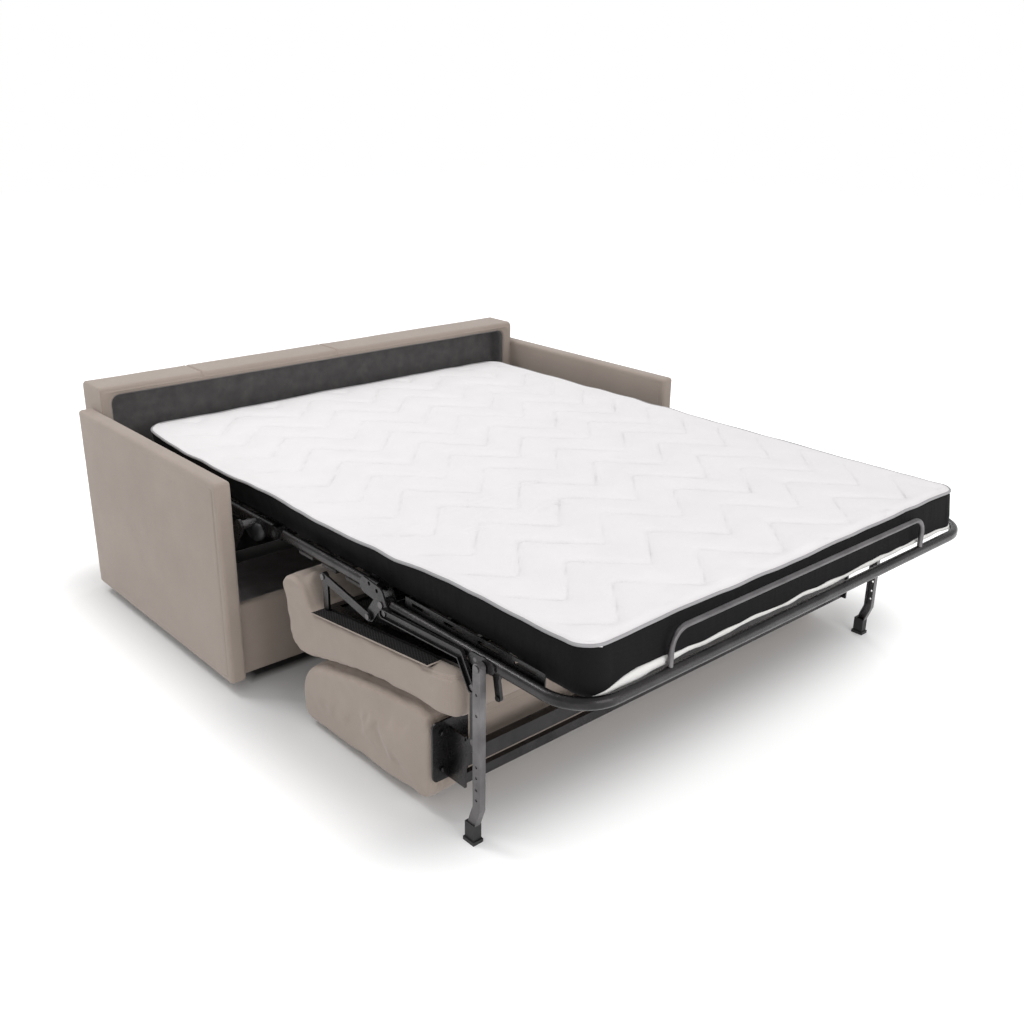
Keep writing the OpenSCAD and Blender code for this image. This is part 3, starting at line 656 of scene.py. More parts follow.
def bell(off: float | np.ndarray, width: float) -> float | np.ndarray:
    """Bell curve of height 1: how much of a crease or seam is left at a distance from it."""
    return np.exp(-((off / width) ** 2))


def ripple(p: Sequence[float], size: float, seed: float = 0.0) -> float:
    """Smooth noise of about -1 to 1 at a point, with features of some size in metres."""
    return noise.noise(Vector((p[0] / size + seed, p[1] / size - seed, p[2] / size + 0.5 * seed)))


def soft_outline(corners: Sequence[Spot], pitch: float, steps: int = 8) -> np.ndarray:
    """Closed outline through rounded corners, with its points spread evenly.

    Args:
        corners: (u, v, reach) for each corner, anticlockwise.
        pitch: Distance wanted between points.
        steps: Parts of each corner's curve.

    Returns:
        The outline's points, one per row.
    """
    points: list[np.ndarray] = []
    for i, (u, v, reach) in enumerate(corners):
        p = np.array((u, v))
        first, last = (
            p + reach * (q - p) / np.linalg.norm(q - p)
            for q in (np.array(corners[i - 1][:2]), np.array(corners[(i + 1) % len(corners)][:2]))
        )
        for t in np.arange(steps + 1) / steps:
            points.append((1 - t) ** 2 * first + 2 * t * (1 - t) * p + t * t * last)
    closed = np.array([*points, points[0]])
    lengths = np.r_[0.0, np.cumsum(np.linalg.norm(np.diff(closed, axis=0), axis=1))]
    at = np.linspace(0.0, lengths[-1], max(12, int(round(lengths[-1] / pitch))), endpoint=False)
    return np.column_stack([np.interp(at, lengths, closed[:, i]) for i in range(2)])


def outline_normals(points: np.ndarray) -> np.ndarray:
    """Outward unit vectors of an anticlockwise outline, one per point."""
    along = np.roll(points, -1, axis=0) - np.roll(points, 1, axis=0)
    along /= np.maximum(np.linalg.norm(along, axis=1, keepdims=True), 1e-9)
    return np.column_stack([along[:, 1], -along[:, 0]])


def rounded_rect(
    half: Row, radius: float, centre: Row, spans: tuple[int, int, int], extra_u: Sequence[float] = ()
) -> np.ndarray:
    """Rounded rectangle whose points match one by one for every size.

    Args:
        half: Half sizes along u and v.
        radius: Corner radius.
        centre: The middle.
        spans: Points on a u side, on a v side and on a corner.
        extra_u: Shares of the u side, -1 to 1, that get more points.

    Returns:
        The outline, anticlockwise from the lower left.
    """
    r = min(radius, *half)
    du, dv = half[0] - r, half[1] - r
    run_u = np.unique(np.r_[np.linspace(-1, 1, spans[0]), np.array(extra_u, float)])
    run_v = np.linspace(-1, 1, spans[1])
    arc = np.linspace(0, QUARTER, spans[2] + 2)[1:-1]
    turn = [(r * math.sin(a), r * math.cos(a)) for a in arc]
    points: list[Row] = [(t * du, -dv - r) for t in run_u]
    points += [(du + s, -dv - c) for s, c in turn]
    points += [(du + r, t * dv) for t in run_v]
    points += [(du + c, dv + s) for s, c in turn]
    points += [(t * du, dv + r) for t in run_u[::-1]]
    points += [(-du - s, dv + c) for s, c in turn]
    points += [(-du - r, t * dv) for t in run_v[::-1]]
    points += [(-du - c, -dv - s) for s, c in turn]
    return np.array(points) + np.array(centre)


def rolled(radius: float, draw: float, steps: int) -> list[Row]:
    """Quarter roll from a face to a rim: how far it has dropped, and how far it is still drawn in.

    Args:
        radius: Drop of the whole roll.
        draw: How far the face lies inside the rim.
        steps: Points of the roll, with the face's own.

    Returns:
        (drop, inset) of each point, from the face to the rim.
    """
    return [(radius * (1 - math.cos(a)), draw * (1 - math.sin(a))) for a in np.linspace(0, QUARTER, steps)]


def link(name: str, data: bpy.types.ID) -> Object:
    """Puts new data into the scene as an object."""
    made = bpy.data.objects.new(name, data)
    bpy.context.scene.collection.objects.link(made)
    return made


def wear(
    obj: Object, body: str, stands_for: Sequence[str] = ()
) -> None:
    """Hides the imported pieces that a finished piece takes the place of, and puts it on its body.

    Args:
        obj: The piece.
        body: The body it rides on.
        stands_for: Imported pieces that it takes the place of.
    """
    if stands_for:
        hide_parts(*stands_for)
    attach(obj, body)


def make_mesh(
    name: str,
    points: Sequence[Sequence[float]],
    faces: Sequence[Sequence[int]],
    materials: Sequence[Material],
    slots: Sequence[int] | None = None,
    merge: float = 1e-6,
) -> Object:
    """Makes a smooth object from points and faces and points its faces outwards.

    Args:
        name: The piece's name.
        points: One point per row.
        faces: Point numbers of each face.
        materials: Its finishes.
        slots: Finish number of each face.
        merge: Distance within which points become one.

    Returns:
        The new object.
    """
    data = bpy.data.meshes.new(name)
    data.from_pydata([tuple(map(float, p)) for p in points], [], [list(f) for f in faces])
    for m in materials:
        data.materials.append(m)
    if slots is not None:
        data.polygons.foreach_set("material_index", np.array(slots, np.int32))
    work = bmesh.new()
    work.from_mesh(data)
    bmesh.ops.remove_doubles(work, verts=work.verts, dist=merge)
    bmesh.ops.dissolve_degenerate(work, dist=merge, edges=work.edges)
    bmesh.ops.recalc_face_normals(work, faces=work.faces)
    for f in work.faces:
        f.smooth = True
    work.to_mesh(data)
    work.free()
    return link(name, data)


def ring_faces(rings: int, count: int, closed: bool = False) -> list[tuple[int, ...]]:
    """Faces that join rings of the same size, and cap both ends unless the rings close.

    Args:
        rings: How many rings there are.
        count: Points in a ring.
        closed: Whether the last ring joins the first.

    Returns:
        The bands' faces, then the caps.
    """
    faces: list[tuple[int, ...]] = []
    for j in range(rings if closed else rings - 1):
        a, b = j * count, (j + 1) % rings * count
        for i in range(count):
            k = (i + 1) % count
            faces.append((a + i, a + k, b + k, b + i))
    if not closed:
        faces += [tuple(range(count)), tuple(range((rings - 1) * count, rings * count))]
    return faces


def curve_tube(
    name: str,
    path: np.ndarray,
    radius: float | np.ndarray,
    material: Material,
    closed: bool = False,
    sides: int = 10,
    flat: float = 1.0,
) -> Object:
    """Round or flattened cord of cloth along a level path.

    Args:
        name: The piece's name.
        path: Its points.
        radius: Half width, one value or one per point.
        material: Its finish.
        closed: Whether the path closes.
        sides: Sides of the tube.
        flat: Height over width.

    Returns:
        The new object.
    """
    radii = np.full(len(path), radius) if np.isscalar(radius) else radius
    along = np.roll(path, -1, axis=0) - np.roll(path, 1, axis=0) if closed else np.gradient(path, axis=0)
    along /= np.linalg.norm(along, axis=1, keepdims=True)
    side = np.cross(along, (0.0, 0.0, 1.0))
    side /= np.maximum(np.linalg.norm(side, axis=1, keepdims=True), 1e-9)
    top = np.cross(side, along)
    angles = np.linspace(0, math.tau, sides, endpoint=False)
    points = [
        p + r * (math.cos(a) * u + flat * math.sin(a) * v)
        for p, r, u, v in zip(path, radii, side, top)
        for a in angles
    ]
    return make_mesh(name, points, ring_faces(len(path), sides, closed), [material])


def bake(obj: Object) -> Object:
    """Turns what an object shows, modifiers and all, into its plain mesh."""
    data = bpy.data.meshes.new_from_object(obj.evaluated_get(bpy.context.evaluated_depsgraph_get()))
    obj.modifiers.clear()
    obj.data = data
    return obj


def read(obj: Object, what: str = "co") -> np.ndarray:
    """Reads the points of an object's mesh, or their normals, one per row."""
    out = np.empty(len(obj.data.vertices) * 3)
    obj.data.vertices.foreach_get(what, out)
    return out.reshape(-1, 3)


def settle(obj: Object, change: Callable[[np.ndarray, np.ndarray], np.ndarray]) -> None:
    """Moves an object's points by a rule.

    Args:
        obj: The object.
        change: Takes points and normals and returns the new points.
    """
    obj.data.vertices.foreach_set("co", change(read(obj), read(obj, "normal")).ravel())
    obj.data.update()


def skin_tree(obj: Object) -> BVHTree:
    """Search tree of an object's skin, to drop things onto it."""
    points = [v.co[:] for v in obj.data.vertices]
    return BVHTree.FromPolygons(points, [p.vertices[:] for p in obj.data.polygons])


def laid_on(tree: BVHTree, path: Sequence[Spot], toward: Spot, lift: float = 0.0004) -> np.ndarray:
    """Drops a path onto an object's skin.

    Args:
        tree: The skin's search tree.
        path: Points somewhere outside it.
        toward: The way to drop, one unit vector for all.
        lift: How far above the skin the path ends.

    Returns:
        The points that met the skin.
    """
    way, back, reach = Vector(toward), 0.15, 0.6
    hits = [tree.ray_cast(Vector(p) - way * back, way, reach) for p in path]
    return np.array([(spot + normal * lift)[:] for spot, normal, _, _ in hits if spot is not None])


# Geometry trees


class RepeatTree:
    """Geometry Nodes that set a small piece again and again, and the mesh they make."""

    sockets: dict[str, str] = {}

    def __init__(self, name: str) -> None:
        """Builds the tree with this kind's sockets.

        Args:
            name: The tree's name.
        """
        self.tree = bpy.data.node_groups.new(name, "GeometryNodeTree")
        face = self.tree.interface
        face.new_socket("Geometry", in_out="INPUT", socket_type="NodeSocketGeometry")
        self.keys = {
            label: face.new_socket(label, in_out="INPUT", socket_type=f"NodeSocket{kind}").identifier
            for label, kind in {**self.sockets, "Finish": "Material"}.items()
        }
        face.new_socket("Geometry", in_out="OUTPUT", socket_type="NodeSocketGeometry")
        s = Sketch(self.tree)
        start, end = s.node("NodeGroupInput"), s.node("NodeGroupOutput")
        real = s.node("GeometryNodeRealizeInstances", {0: self.rows(s, start.outputs)})
        inputs = {"Geometry": real.outputs[0], "Material": start.outputs["Finish"]}
        s.feed(end.inputs[0], s.node("GeometryNodeSetMaterial", inputs).outputs[0])

    def rows(self, s: Sketch, take: bpy.types.bpy_prop_collection) -> Socket:
        """Sets the instances; each kind has its own.

        Args:
            s: The tree's sketch.
            take: The tree's inputs.

        Returns:
            The instances' socket.
        """
        raise NotImplementedError

    def run(self, name: str, points: list[Spot], edges: list[Row], **values: object) -> Object:
        """Runs the tree on some points and returns the result as a plain mesh.

        Args:
            name: The piece's name.
            points: Points of the mesh that carries the pieces.
            edges: Its edges.
            **values: The tree's inputs, Finish among them.

        Returns:
            The new object.
        """
        data = bpy.data.meshes.new(name)
        data.from_pydata([tuple(map(float, p)) for p in points], edges, [])
        made = link(name, data)
        live = made.modifiers.new("repeat", "NODES")
        live.node_group = self.tree
        for label, value in values.items():
            live[self.keys[label]] = value
        bake(made)
        made.data.materials.clear()
        made.data.materials.append(values["Finish"])
        return made


class RowTree(RepeatTree):
    """Sets a small bead again and again along a path: a row of stitches."""

    sockets = {"Spacing": "Float", "Length": "Float", "Thickness": "Float"}

    def rows(self, s: Sketch, take: bpy.types.bpy_prop_collection) -> Socket:
        """Sets the beads along the path.

        Args:
            s: The tree's sketch.
            take: The tree's inputs.

        Returns:
            The instances' socket.
        """
        path = s.node("GeometryNodeMeshToCurve", {"Mesh": take["Geometry"]})
        inputs = {"Curve": path.outputs[0], "Length": take["Spacing"]}
        even = s.node("GeometryNodeResampleCurve", inputs, mode="LENGTH")
        spots = s.node("GeometryNodeCurveToPoints", {"Curve": even.outputs[0]}, mode="EVALUATED").outputs
        bead = s.node("GeometryNodeMeshUVSphere", {"Segments": 6, "Rings": 4, "Radius": 1.0})
        round_bead = s.node("GeometryNodeSetShadeSmooth", {0: bead.outputs["Mesh"]})
        thick = s.times(take["Thickness"], 0.5)
        shape = s.node("ShaderNodeCombineXYZ", {0: thick, 1: thick, 2: s.times(take["Length"], 0.5)})
        turn = s.node("FunctionNodeAlignRotationToVector", {"Vector": spots["Tangent"]}, axis="Z")
        return s.node("GeometryNodeInstanceOnPoints", {
            "Points": spots["Points"], "Instance": round_bead.outputs[0],
            "Rotation": turn.outputs[0], "Scale": shape.outputs[0],
        }).outputs[0]


class StudTree(RepeatTree):
    """Sets a domed stud with a collar at each point, facing one way: bolt and rivet heads."""

    sockets = {"Radius": "Float", "Height": "Float", "Sides": "Int", "Facing": "Vector"}

    def rows(self, s: Sketch, take: bpy.types.bpy_prop_collection) -> Socket:
        """Sets the studs at the points.

        Args:
            s: The tree's sketch.
            take: The tree's inputs.

        Returns:
            The instances' socket.
        """
        radius, height = take["Radius"], take["Height"]

        def raised(mesh: Socket, by: object, scale: Spot = (1.0, 1.0, 1.0)) -> Socket:
            """Moves a form up the stud and scales it."""
            lift = s.node("ShaderNodeCombineXYZ", {2: by}).outputs[0]
            inputs = {"Geometry": mesh, "Translation": lift, "Scale": scale}
            return s.node("GeometryNodeTransform", inputs).outputs[0]

        def drum(vertices: object, size: Socket, depth: Socket) -> Socket:
            """Cylinder about the stud's axis."""
            inputs = {"Vertices": vertices, "Radius": size, "Depth": depth}
            return s.node("GeometryNodeMeshCylinder", inputs).outputs["Mesh"]

        collar = drum(24, s.times(radius, 1.35), s.times(height, 0.3))
        head = raised(drum(take["Sides"], radius, height), s.times(height, 0.5))
        inputs = {"Segments": 16, "Rings": 8, "Radius": s.times(radius, 0.8)}
        dome = s.node("GeometryNodeMeshUVSphere", inputs)
        whole = s.node("GeometryNodeJoinGeometry")
        for part in (collar, head, raised(dome.outputs["Mesh"], height, (1.0, 1.0, 0.35))):
            s.tree.links.new(part, whole.inputs[0])
        spots = s.node("GeometryNodeMeshToPoints", {"Mesh": take["Geometry"]})
        turn = s.node("FunctionNodeAlignRotationToVector", {"Vector": take["Facing"]}, axis="Z")
        inputs = {"Points": spots.outputs[0], "Instance": whole.outputs[0], "Rotation": turn.outputs[0]}
        return s.node("GeometryNodeInstanceOnPoints", inputs).outputs[0]


@dataclass
class Workshop:
    """Shared tools of the build: finishes and the trees of stitches and studs."""

    finishes: Wardrobe = field(default_factory=Wardrobe)
    stitches: RowTree = field(default_factory=lambda: RowTree("stitch_row"))
    studs: StudTree = field(default_factory=lambda: StudTree("stud_heads"))

    def sew(
        self,
        name: str,
        paths: Sequence[np.ndarray],
        body: str,
        pitch: float = 0.0062,
        length: float = 0.0042,
        thick: float = 0.0012,
    ) -> None:
        """Sews rows of stitches along open paths.

        Args:
            name: The piece's name.
            paths: One path or more, one point per row; a path of under 3 points is left out.
            body: The body they ride on.
            pitch: Distance between stitches.
            length: Length of one.
            thick: Thickness of one.
        """
        points, edges = [], []
        for path in paths:
            if len(path) > 2:
                edges += [(i, i + 1) for i in range(len(points), len(points) + len(path) - 1)]
                points += list(path)
        values = {"Spacing": pitch, "Length": length, "Thickness": thick, "Finish": self.finishes.seam}
        wear(self.stitches.run(name, points, edges, **values), body)


# Upholstered body


@dataclass
class SlimArm:
    """One slim padded arm: a rounded panel with a stitched boxing line."""

    shop: Workshop
    side: int
    thick: float = 0.045
    depth: float = 0.879
    low: float = 0.033
    high: float = 0.605
    inner_x: float = 0.824
    corner: float = 0.011
    edge: float = 0.011
    edge_draw: float = 0.008
    seam_in: float = 0.019
    puff: float = 0.0022
    insets: tuple[float, ...] = (0.25, 0.2, 0.15, 0.11, 0.08, 0.058, 0.042, 0.032)

    def build(self) -> Object:
        """Builds the arm from rings that run from one face's middle over the rim to the other's.

        Returns:
            The arm's object.
        """
        half_y, half_z = self.depth / 2, (self.high - self.low) / 2
        half_t, centre = self.thick / 2, (-half_y, (self.high + self.low) / 2)
        seam = [self.seam_in + s for s in (0.004, 0.0015, 0.0, -0.0015, -0.004)]
        rows = [(half_t, d) for d in (half_z - 0.002, *self.insets, *seam, 0.013)]
        rows += [(half_t - drop, d) for drop, d in rolled(self.edge, self.edge_draw, 7)[1:]]
        rows += [(-x, d) for x, d in reversed(rows)]
        points: list[Spot] = []
        for x, d in rows:
            out_way = math.copysign(1.0, x)
            swell = self.puff * unit((d - 0.01) / 0.08)
            half = (half_y - d, half_z - d)
            for y, z in rounded_rect(half, max(self.corner - d, 0.003), centre, (60, 40, 6)):
                groove = 0.0019 * bell(d - self.seam_in, 0.0016) * (1.0 if y < 0.03 - self.depth else 0.2)
                spot = (y, z) if d < half_z - 0.03 else centre
                wave = 0.0016 * ripple((*spot, x * 3), 0.16, 3.1 * self.side) * min(1.0, d / 0.05)
                pinch = 0.0008 * ripple((y, z, x), 0.03, 8.0) * bell(d - self.seam_in, 0.02)
                out = x + out_way * (swell - groove + wave + pinch)
                out = min(max(out, -half_t), half_t + 0.003)
                points.append((self.side * (self.inner_x + half_t + out), y, z))
        faces = ring_faces(len(rows), len(points) // len(rows))
        name = "left" if self.side < 0 else "right"
        arm = make_mesh(f"padded_arm_{name}", points, faces, [self.shop.finishes.cloth], merge=1e-5)
        wear(arm, "sofa_base", (f"arm_{name}",))
        d = self.seam_in + 0.0050
        run = [(d - self.depth, z) for z in np.linspace(self.low + d, self.high - d, 60)]
        faces_x = [self.side * (self.inner_x + half_t) + way * (half_t + 0.0004) for way in (1, -1)]
        paths = [[(x, y, z) for y, z in run] for x in faces_x]
        self.shop.sew(f"arm_stitches_{name}", paths, "sofa_base", thick=0.0011)
        return arm


@dataclass
class BackBox:
    """Upholstered back box with its felt-lined recess, made as one rolled skin."""

    shop: Workshop
    half_x: float = 0.824
    front: float = -0.075
    rear: float = 0.054
    low: float = 0.033
    high: float = 0.679
    edge: float = 0.013
    border: float = 0.034
    recess_low: float = 0.250
    recess_high: float = 0.651
    recess_r: float = 0.030
    recess_y: float = 0.005
    lip: float = 0.010
    lip_roll: float = 0.008
    felt: float = 0.004
    seams_x: Row = (-0.487, 0.02)

    def rows(self) -> tuple[list[tuple[float, Row, float, Row, float]], int, int]:
        """Rings of the skin, from the middle of the rear over the rim and into the recess.

        Returns:
            (y, half sizes, corner radius, middle, seam share) of each ring, and the
            numbers of the first ring past the rear and of the first felt ring.
        """
        half_x, half_z = self.half_x, (self.high - self.low) / 2
        middle = (0.0, (self.high + self.low) / 2)
        rec_x, rec_z = half_x - self.border, (self.recess_high - self.recess_low) / 2
        rec_middle = (0.0, (self.recess_high + self.recess_low) / 2)
        rows = []
        for d in (half_z - 0.002, 0.2, 0.12, 0.06, 0.03):
            rows.append((self.rear, (half_x, half_z - d), 0.004, middle, 0.0))
        for drop, e in rolled(self.edge, self.edge, 7)[1:]:
            rows.append((self.rear - drop, (half_x, half_z - e), 0.006, middle, 0.6))
        rear_end = len(rows)
        for t in (0.25, 0.5, 0.75):
            y = self.rear - self.edge - t * (self.rear - self.front - 2 * self.edge)
            rows.append((y, (half_x, half_z), 0.006, middle, 1.0))
        for drop, e in reversed(rolled(self.edge, self.edge, 8)):
            rows.append((self.front + drop, (half_x, half_z - e), 0.006, middle, 1.0))
        outer = np.array((half_x, half_z - self.edge, 0.006, middle[1]))
        roll = self.lip_roll
        inner = np.array((rec_x + roll, rec_z + roll, self.recess_r + roll, rec_middle[1]))
        for t in np.arange(1, 9) / 9:
            x, z, r, middle_z = outer * (1 - t) + inner * t
            y = self.front - 0.004 * math.sin(math.pi * t) + 0.001
            rows.append((y, (x, z), r, (0.0, middle_z), 1.0 - t))
        for drop, e in rolled(roll, roll, 6):
            rows.append((self.front + drop, (rec_x + e, rec_z + e), self.recess_r + e, rec_middle, 0.0))
        cloth_end, lip = len(rows), self.front + self.lip
        for y, e in (
            (lip, 0.0), (lip + 0.001, -self.felt), (self.front + 0.03, -self.felt),
            (self.front + 0.055, -self.felt), (self.recess_y - 0.010, -self.felt),
            (self.recess_y - 0.003, -self.felt - 0.003), (self.recess_y, -self.felt - 0.010),
        ):
            rows.append((y, (rec_x + e, rec_z + e), self.recess_r + e, rec_middle, 0.0))
        for d in (0.03, 0.06, 0.1, 0.14, rec_z - 0.003):
            r = max(self.recess_r - d, 0.004)
            rows.append((self.recess_y, (rec_x - d, rec_z - d), r, rec_middle, 0.0))
        return rows, rear_end, cloth_end

    def build(self) -> Object:
        """Builds the skin of the box and of its recess.

        Returns:
            The box's object.
        """
        rows, rear_end, cloth_end = self.rows()
        near = [s / self.half_x + o for s in self.seams_x for o in np.linspace(-0.012, 0.012, 13)]
        points: list[Spot] = []
        for number, (y, (hx, hz), r, mid, seam) in enumerate(rows):
            cloth = number < cloth_end
            way = 1 if number >= rear_end else -1
            for x, z in rounded_rect((hx, max(hz, 0.0015)), r, mid, (90, 34, 6), near):
                depth = 0.0
                if z > mid[1]:
                    for s in self.seams_x:
                        ridge = 0.0016 * bell(abs(x - s) - 0.009, 0.005)
                        depth += seam * (0.0056 * bell(x - s, 0.0026) - ridge)
                height, size, seed = (0.0014, 0.2, 2.0) if cloth else (0.0012, 0.12, 5.0)
                wave = height * ripple((x, y, z), size, seed)
                if cloth and z > mid[1] + hz - 0.003:
                    points.append((x, y, z - depth - abs(wave)))
                else:
                    points.append((x, y + way * (depth + wave), z))
        count = len(points) // len(rows)
        slots = [int(j >= cloth_end) for j in range(len(rows) - 1) for _ in range(count)] + [0, 1]
        finishes = [self.shop.finishes.cloth, self.shop.finishes.felt]
        box = make_mesh("back_box_cover", points, ring_faces(len(rows), count), finishes, slots, merge=1e-5)
        for face in box.data.polygons:
            c = face.center
            if c.y < self.front + 0.006 and c.z < self.recess_low and abs(c.x) < self.half_x - self.border:
                face.material_index = 1
        wear(box, "sofa_base", ("back_box", "back_recess_lining"))
        self._stitch()
        return box

    def _stitch(self) -> None:
        """Sews along both cross seams, over the top and down the front."""
        paths = []
        front, top = self.front + self.edge, self.high + 0.0002
        for x in (s + shift for s in self.seams_x for shift in (-0.006, 0.006)):
            run = [(x, y, top) for y in np.linspace(self.rear - self.edge, front, 12)]
            for a in np.linspace(0.2, QUARTER, 8):
                run.append((x, front - self.edge * math.sin(a), top - self.edge * (1 - math.cos(a))))
            paths.append(run + [(x, self.front - 0.0012, z) for z in (0.668, 0.664, 0.660)])
        self.shop.sew("back_box_stitches", paths, "sofa_base", pitch=0.006, length=0.004, thick=0.0011)


@dataclass
class FrontPanel:
    """Low upholstered panel that closes the well at the front."""

    shop: Workshop
    half_x: float = 0.8235
    low: float = 0.033
    high: float = 0.240
    front: float = -0.846
    rear: float = -0.820

    def build(self) -> Object:
        """Builds the panel.

        Returns:
            The panel's object.
        """
        half_z, half_t = (self.high - self.low) / 2, (self.rear - self.front) / 2
        middle_y, middle = (self.rear + self.front) / 2, (0.0, (self.high + self.low) / 2)
        rows = [(half_t, d) for d in (half_z - 0.002, 0.07, 0.045, 0.025, 0.012)]
        rows += [(half_t - drop, d) for drop, d in rolled(0.008, 0.006, 5)[1:]]
        rows += [(-t, d) for t, d in reversed(rows)]
        points: list[Spot] = []
        for t, d in rows:
            for x, z in rounded_rect((self.half_x - d / 2, half_z - d), 0.006, middle, (80, 20, 4)):
                wave = 0.0012 * ripple((x, z, t), 0.18, 4.0) * min(1.0, d / 0.03)
                points.append((x, middle_y + t - math.copysign(wave, t), z))
        faces = ring_faces(len(rows), len(points) // len(rows))
        panel = make_mesh("front_panel_cover", points, faces, [self.shop.finishes.cloth], merge=1e-5)
        wear(panel, "sofa_base", ("front_panel",))
        return panel


# Mattress


class MattressPart(Enum):
    """The two pieces of the mattress, which meet in the middle section."""

    HEAD = "head"
    FOOT = "foot"


@dataclass
class Mattress:
    """Quilted foam mattress with a black border, a rolled top tape and a white lower hem."""

    shop: Workshop
    half_x: float = 0.700
    head: float = -0.115
    foot: float = -2.035
    low: float = 0.455
    thick: float = 0.100
    plan_r: float = 0.055
    edge_r: float = 0.013
    crown: float = 0.004
    joint: float = -1.190
    hinge_head: Row = (-0.957, 0.4687)
    hinge_foot: Row = (KNEE, 0.4407)
    bend_head: float = 0.114
    bend_foot: float = 0.121
    pitch: float = 0.0065
    line_gap: float = 0.150
    line_at: float = -1.765
    zig_period: float = 0.275
    zig_peak: float = -0.4375
    zig_size: float = 0.150
    zig_round: float = 0.8
    groove: float = 0.0112
    pillow: float = 0.050
    side_steps: int = 8
    pulls: tuple[tuple[float, float, float, float, float], ...] = (
        (-0.463, -1.2925, -0.325, -1.284, 0.0030), (-0.238, -1.255, -0.095, -1.272, 0.0030),
        (-0.288, -1.432, -0.200, -1.409, 0.0034), (-0.200, -1.409, -0.181, -1.443, 0.0034),
        (-0.500, -1.415, -0.437, -1.434, 0.0028), (-0.690, -1.190, -0.612, -1.240, 0.0030),
        (-0.640, -1.330, -0.560, -1.318, 0.0022), (-0.420, -1.365, -0.330, -1.350, 0.0020),
    )
    side_lean: tuple[Row, ...] = (
        (-2.00, 0.0), (-1.65, 1.0), (-1.52, 4.0), (-1.43, 8.0), (-1.34, 7.0), (-1.24, 10.0), (-1.08, 10.0),
        (-0.91, 8.0), (-0.78, 9.0), (-0.65, 13.0), (-0.44, 12.0), (-0.20, 8.0), (-0.115, 3.0),
    )

    @staticmethod
    def corner_inset(d: float, r: float) -> float:
        """How far a corner of radius r has drawn in at a distance d from the end."""
        return 0.0 if d >= r else r - math.sqrt(max(r * r - (r - d) ** 2, 0.0))

    def quilt(self, x: float, y: float) -> float:
        """Depth of the quilting at a point: zigzag lines across the bed, puffed between.

        Args:
            x: Place across the mattress.
            y: Place along the mattress.

        Returns:
            Height below the crown, in metres.
        """
        phase = (x - self.zig_peak + 0.008 * ripple((x, y, 0), 0.35, 11.0)) / self.zig_period
        saw = abs((phase % 1.0) * 2 - 1) * 2 - 1
        size = abs(saw)
        if size > self.zig_round:
            size -= (size - self.zig_round) ** 2 / 0.4
        zig = math.copysign(size, saw) * self.zig_size / 2
        v = (y - self.line_at - zig + 0.008 * ripple((x, y, 0), 0.22, 3.0)) / self.line_gap + 0.5
        d = abs(v - math.floor(v) - 0.5) * self.line_gap * 0.72
        puff = math.sqrt(max(0.0, 1 - (1 - min(1.0, d / self.pillow)) ** 2))
        uneven = 0.70 + 0.6 * ripple((x, y, 2.0), 0.16, 5.0)
        cross = 0.0022 * ripple((x, y, 1.0), 0.045, 7.0) * (1 - puff * 0.6)
        soft = 0.0012 * ripple((x, y, 6.0), 0.11, 19.0)
        return cross + soft + self.pulled(x, y) - self.groove * uneven * (1 - puff) - 0.0012 * bell(d, 0.004)

    def pulled(self, x: float, y: float) -> float:
        """Short creases where the cover is pulled near the hinge.

        Args:
            x: Place across the mattress.
            y: Place along the mattress.

        Returns:
            Height added by the creases, in metres.
        """
        total = 0.0
        for x0, y0, x1, y1, size in self.pulls:
            if abs(x - (x0 + x1) / 2) > 0.14 or abs(y - (y0 + y1) / 2) > 0.06:
                continue
            run = math.hypot(x1 - x0, y1 - y0)
            t = ((x - x0) * (x1 - x0) + (y - y0) * (y1 - y0)) / run**2
            side = ((x - x0) * (y1 - y0) - (y - y0) * (x1 - x0)) / run + 0.004 * math.sin(3 * t)
            ends = bell(max(abs(t - 0.5) - 0.4, 0.0), 0.18)
            total += size * ends * (bell(side, 0.007) - 0.8 * bell(side - 0.011, 0.006))
        return total

    def stray(self, p: Sequence[float]) -> Spot:
        """Lets the edges of soft foam wander, lean and droop a little.

        Args:
            p: A point of the even mattress.

        Returns:
            The point of the real one.
        """
        x, y, z = (float(c) for c in p)
        left, hand = x < 0, math.copysign(1.0, x)
        at_foot = y < -1.0
        level = (z - self.low) / self.thick
        share = unit((level - 0.3) / 0.7)
        side = unit((abs(x) - self.half_x + 0.10) / 0.08)
        end = unit((0.10 - min(self.head - y, y - self.foot)) / 0.08)
        toe = end if at_foot else 0.0
        lean = float(np.interp(y, *zip(*self.side_lean))) * side * (1.0 if left else 0.35)
        sway = 0.0060 * ripple((hand, y, 0.0), 0.23, 21.0) + 0.0034 * ripple((hand, y, 0.0), 0.09, 2.0)
        out_x = (sway * side + 0.0022 * lean) * hand
        out_y = 0.0030 * (ripple((x, 0.4, 0.0), 0.26, 27.0) - 0.7) * end
        out_y = out_y * (-1.0 if at_foot else 1.0) + 0.009 * toe
        sag = 0.0055 * ripple((x, y, 3.0), 0.24, 13.0) + 0.0024 * ripple((x, y, 3.0), 0.08, 17.0)
        drop = sag * max(side, end) + 0.004 * toe - 0.0008 * lean
        near = unit((0.26 - (y - self.foot)) / 0.14) if left else 0.4 * toe
        heel = 0.016 * near * side * max(0.0, 1 - level)
        return x + out_x * share, y + out_y * share, z + drop * share - heel

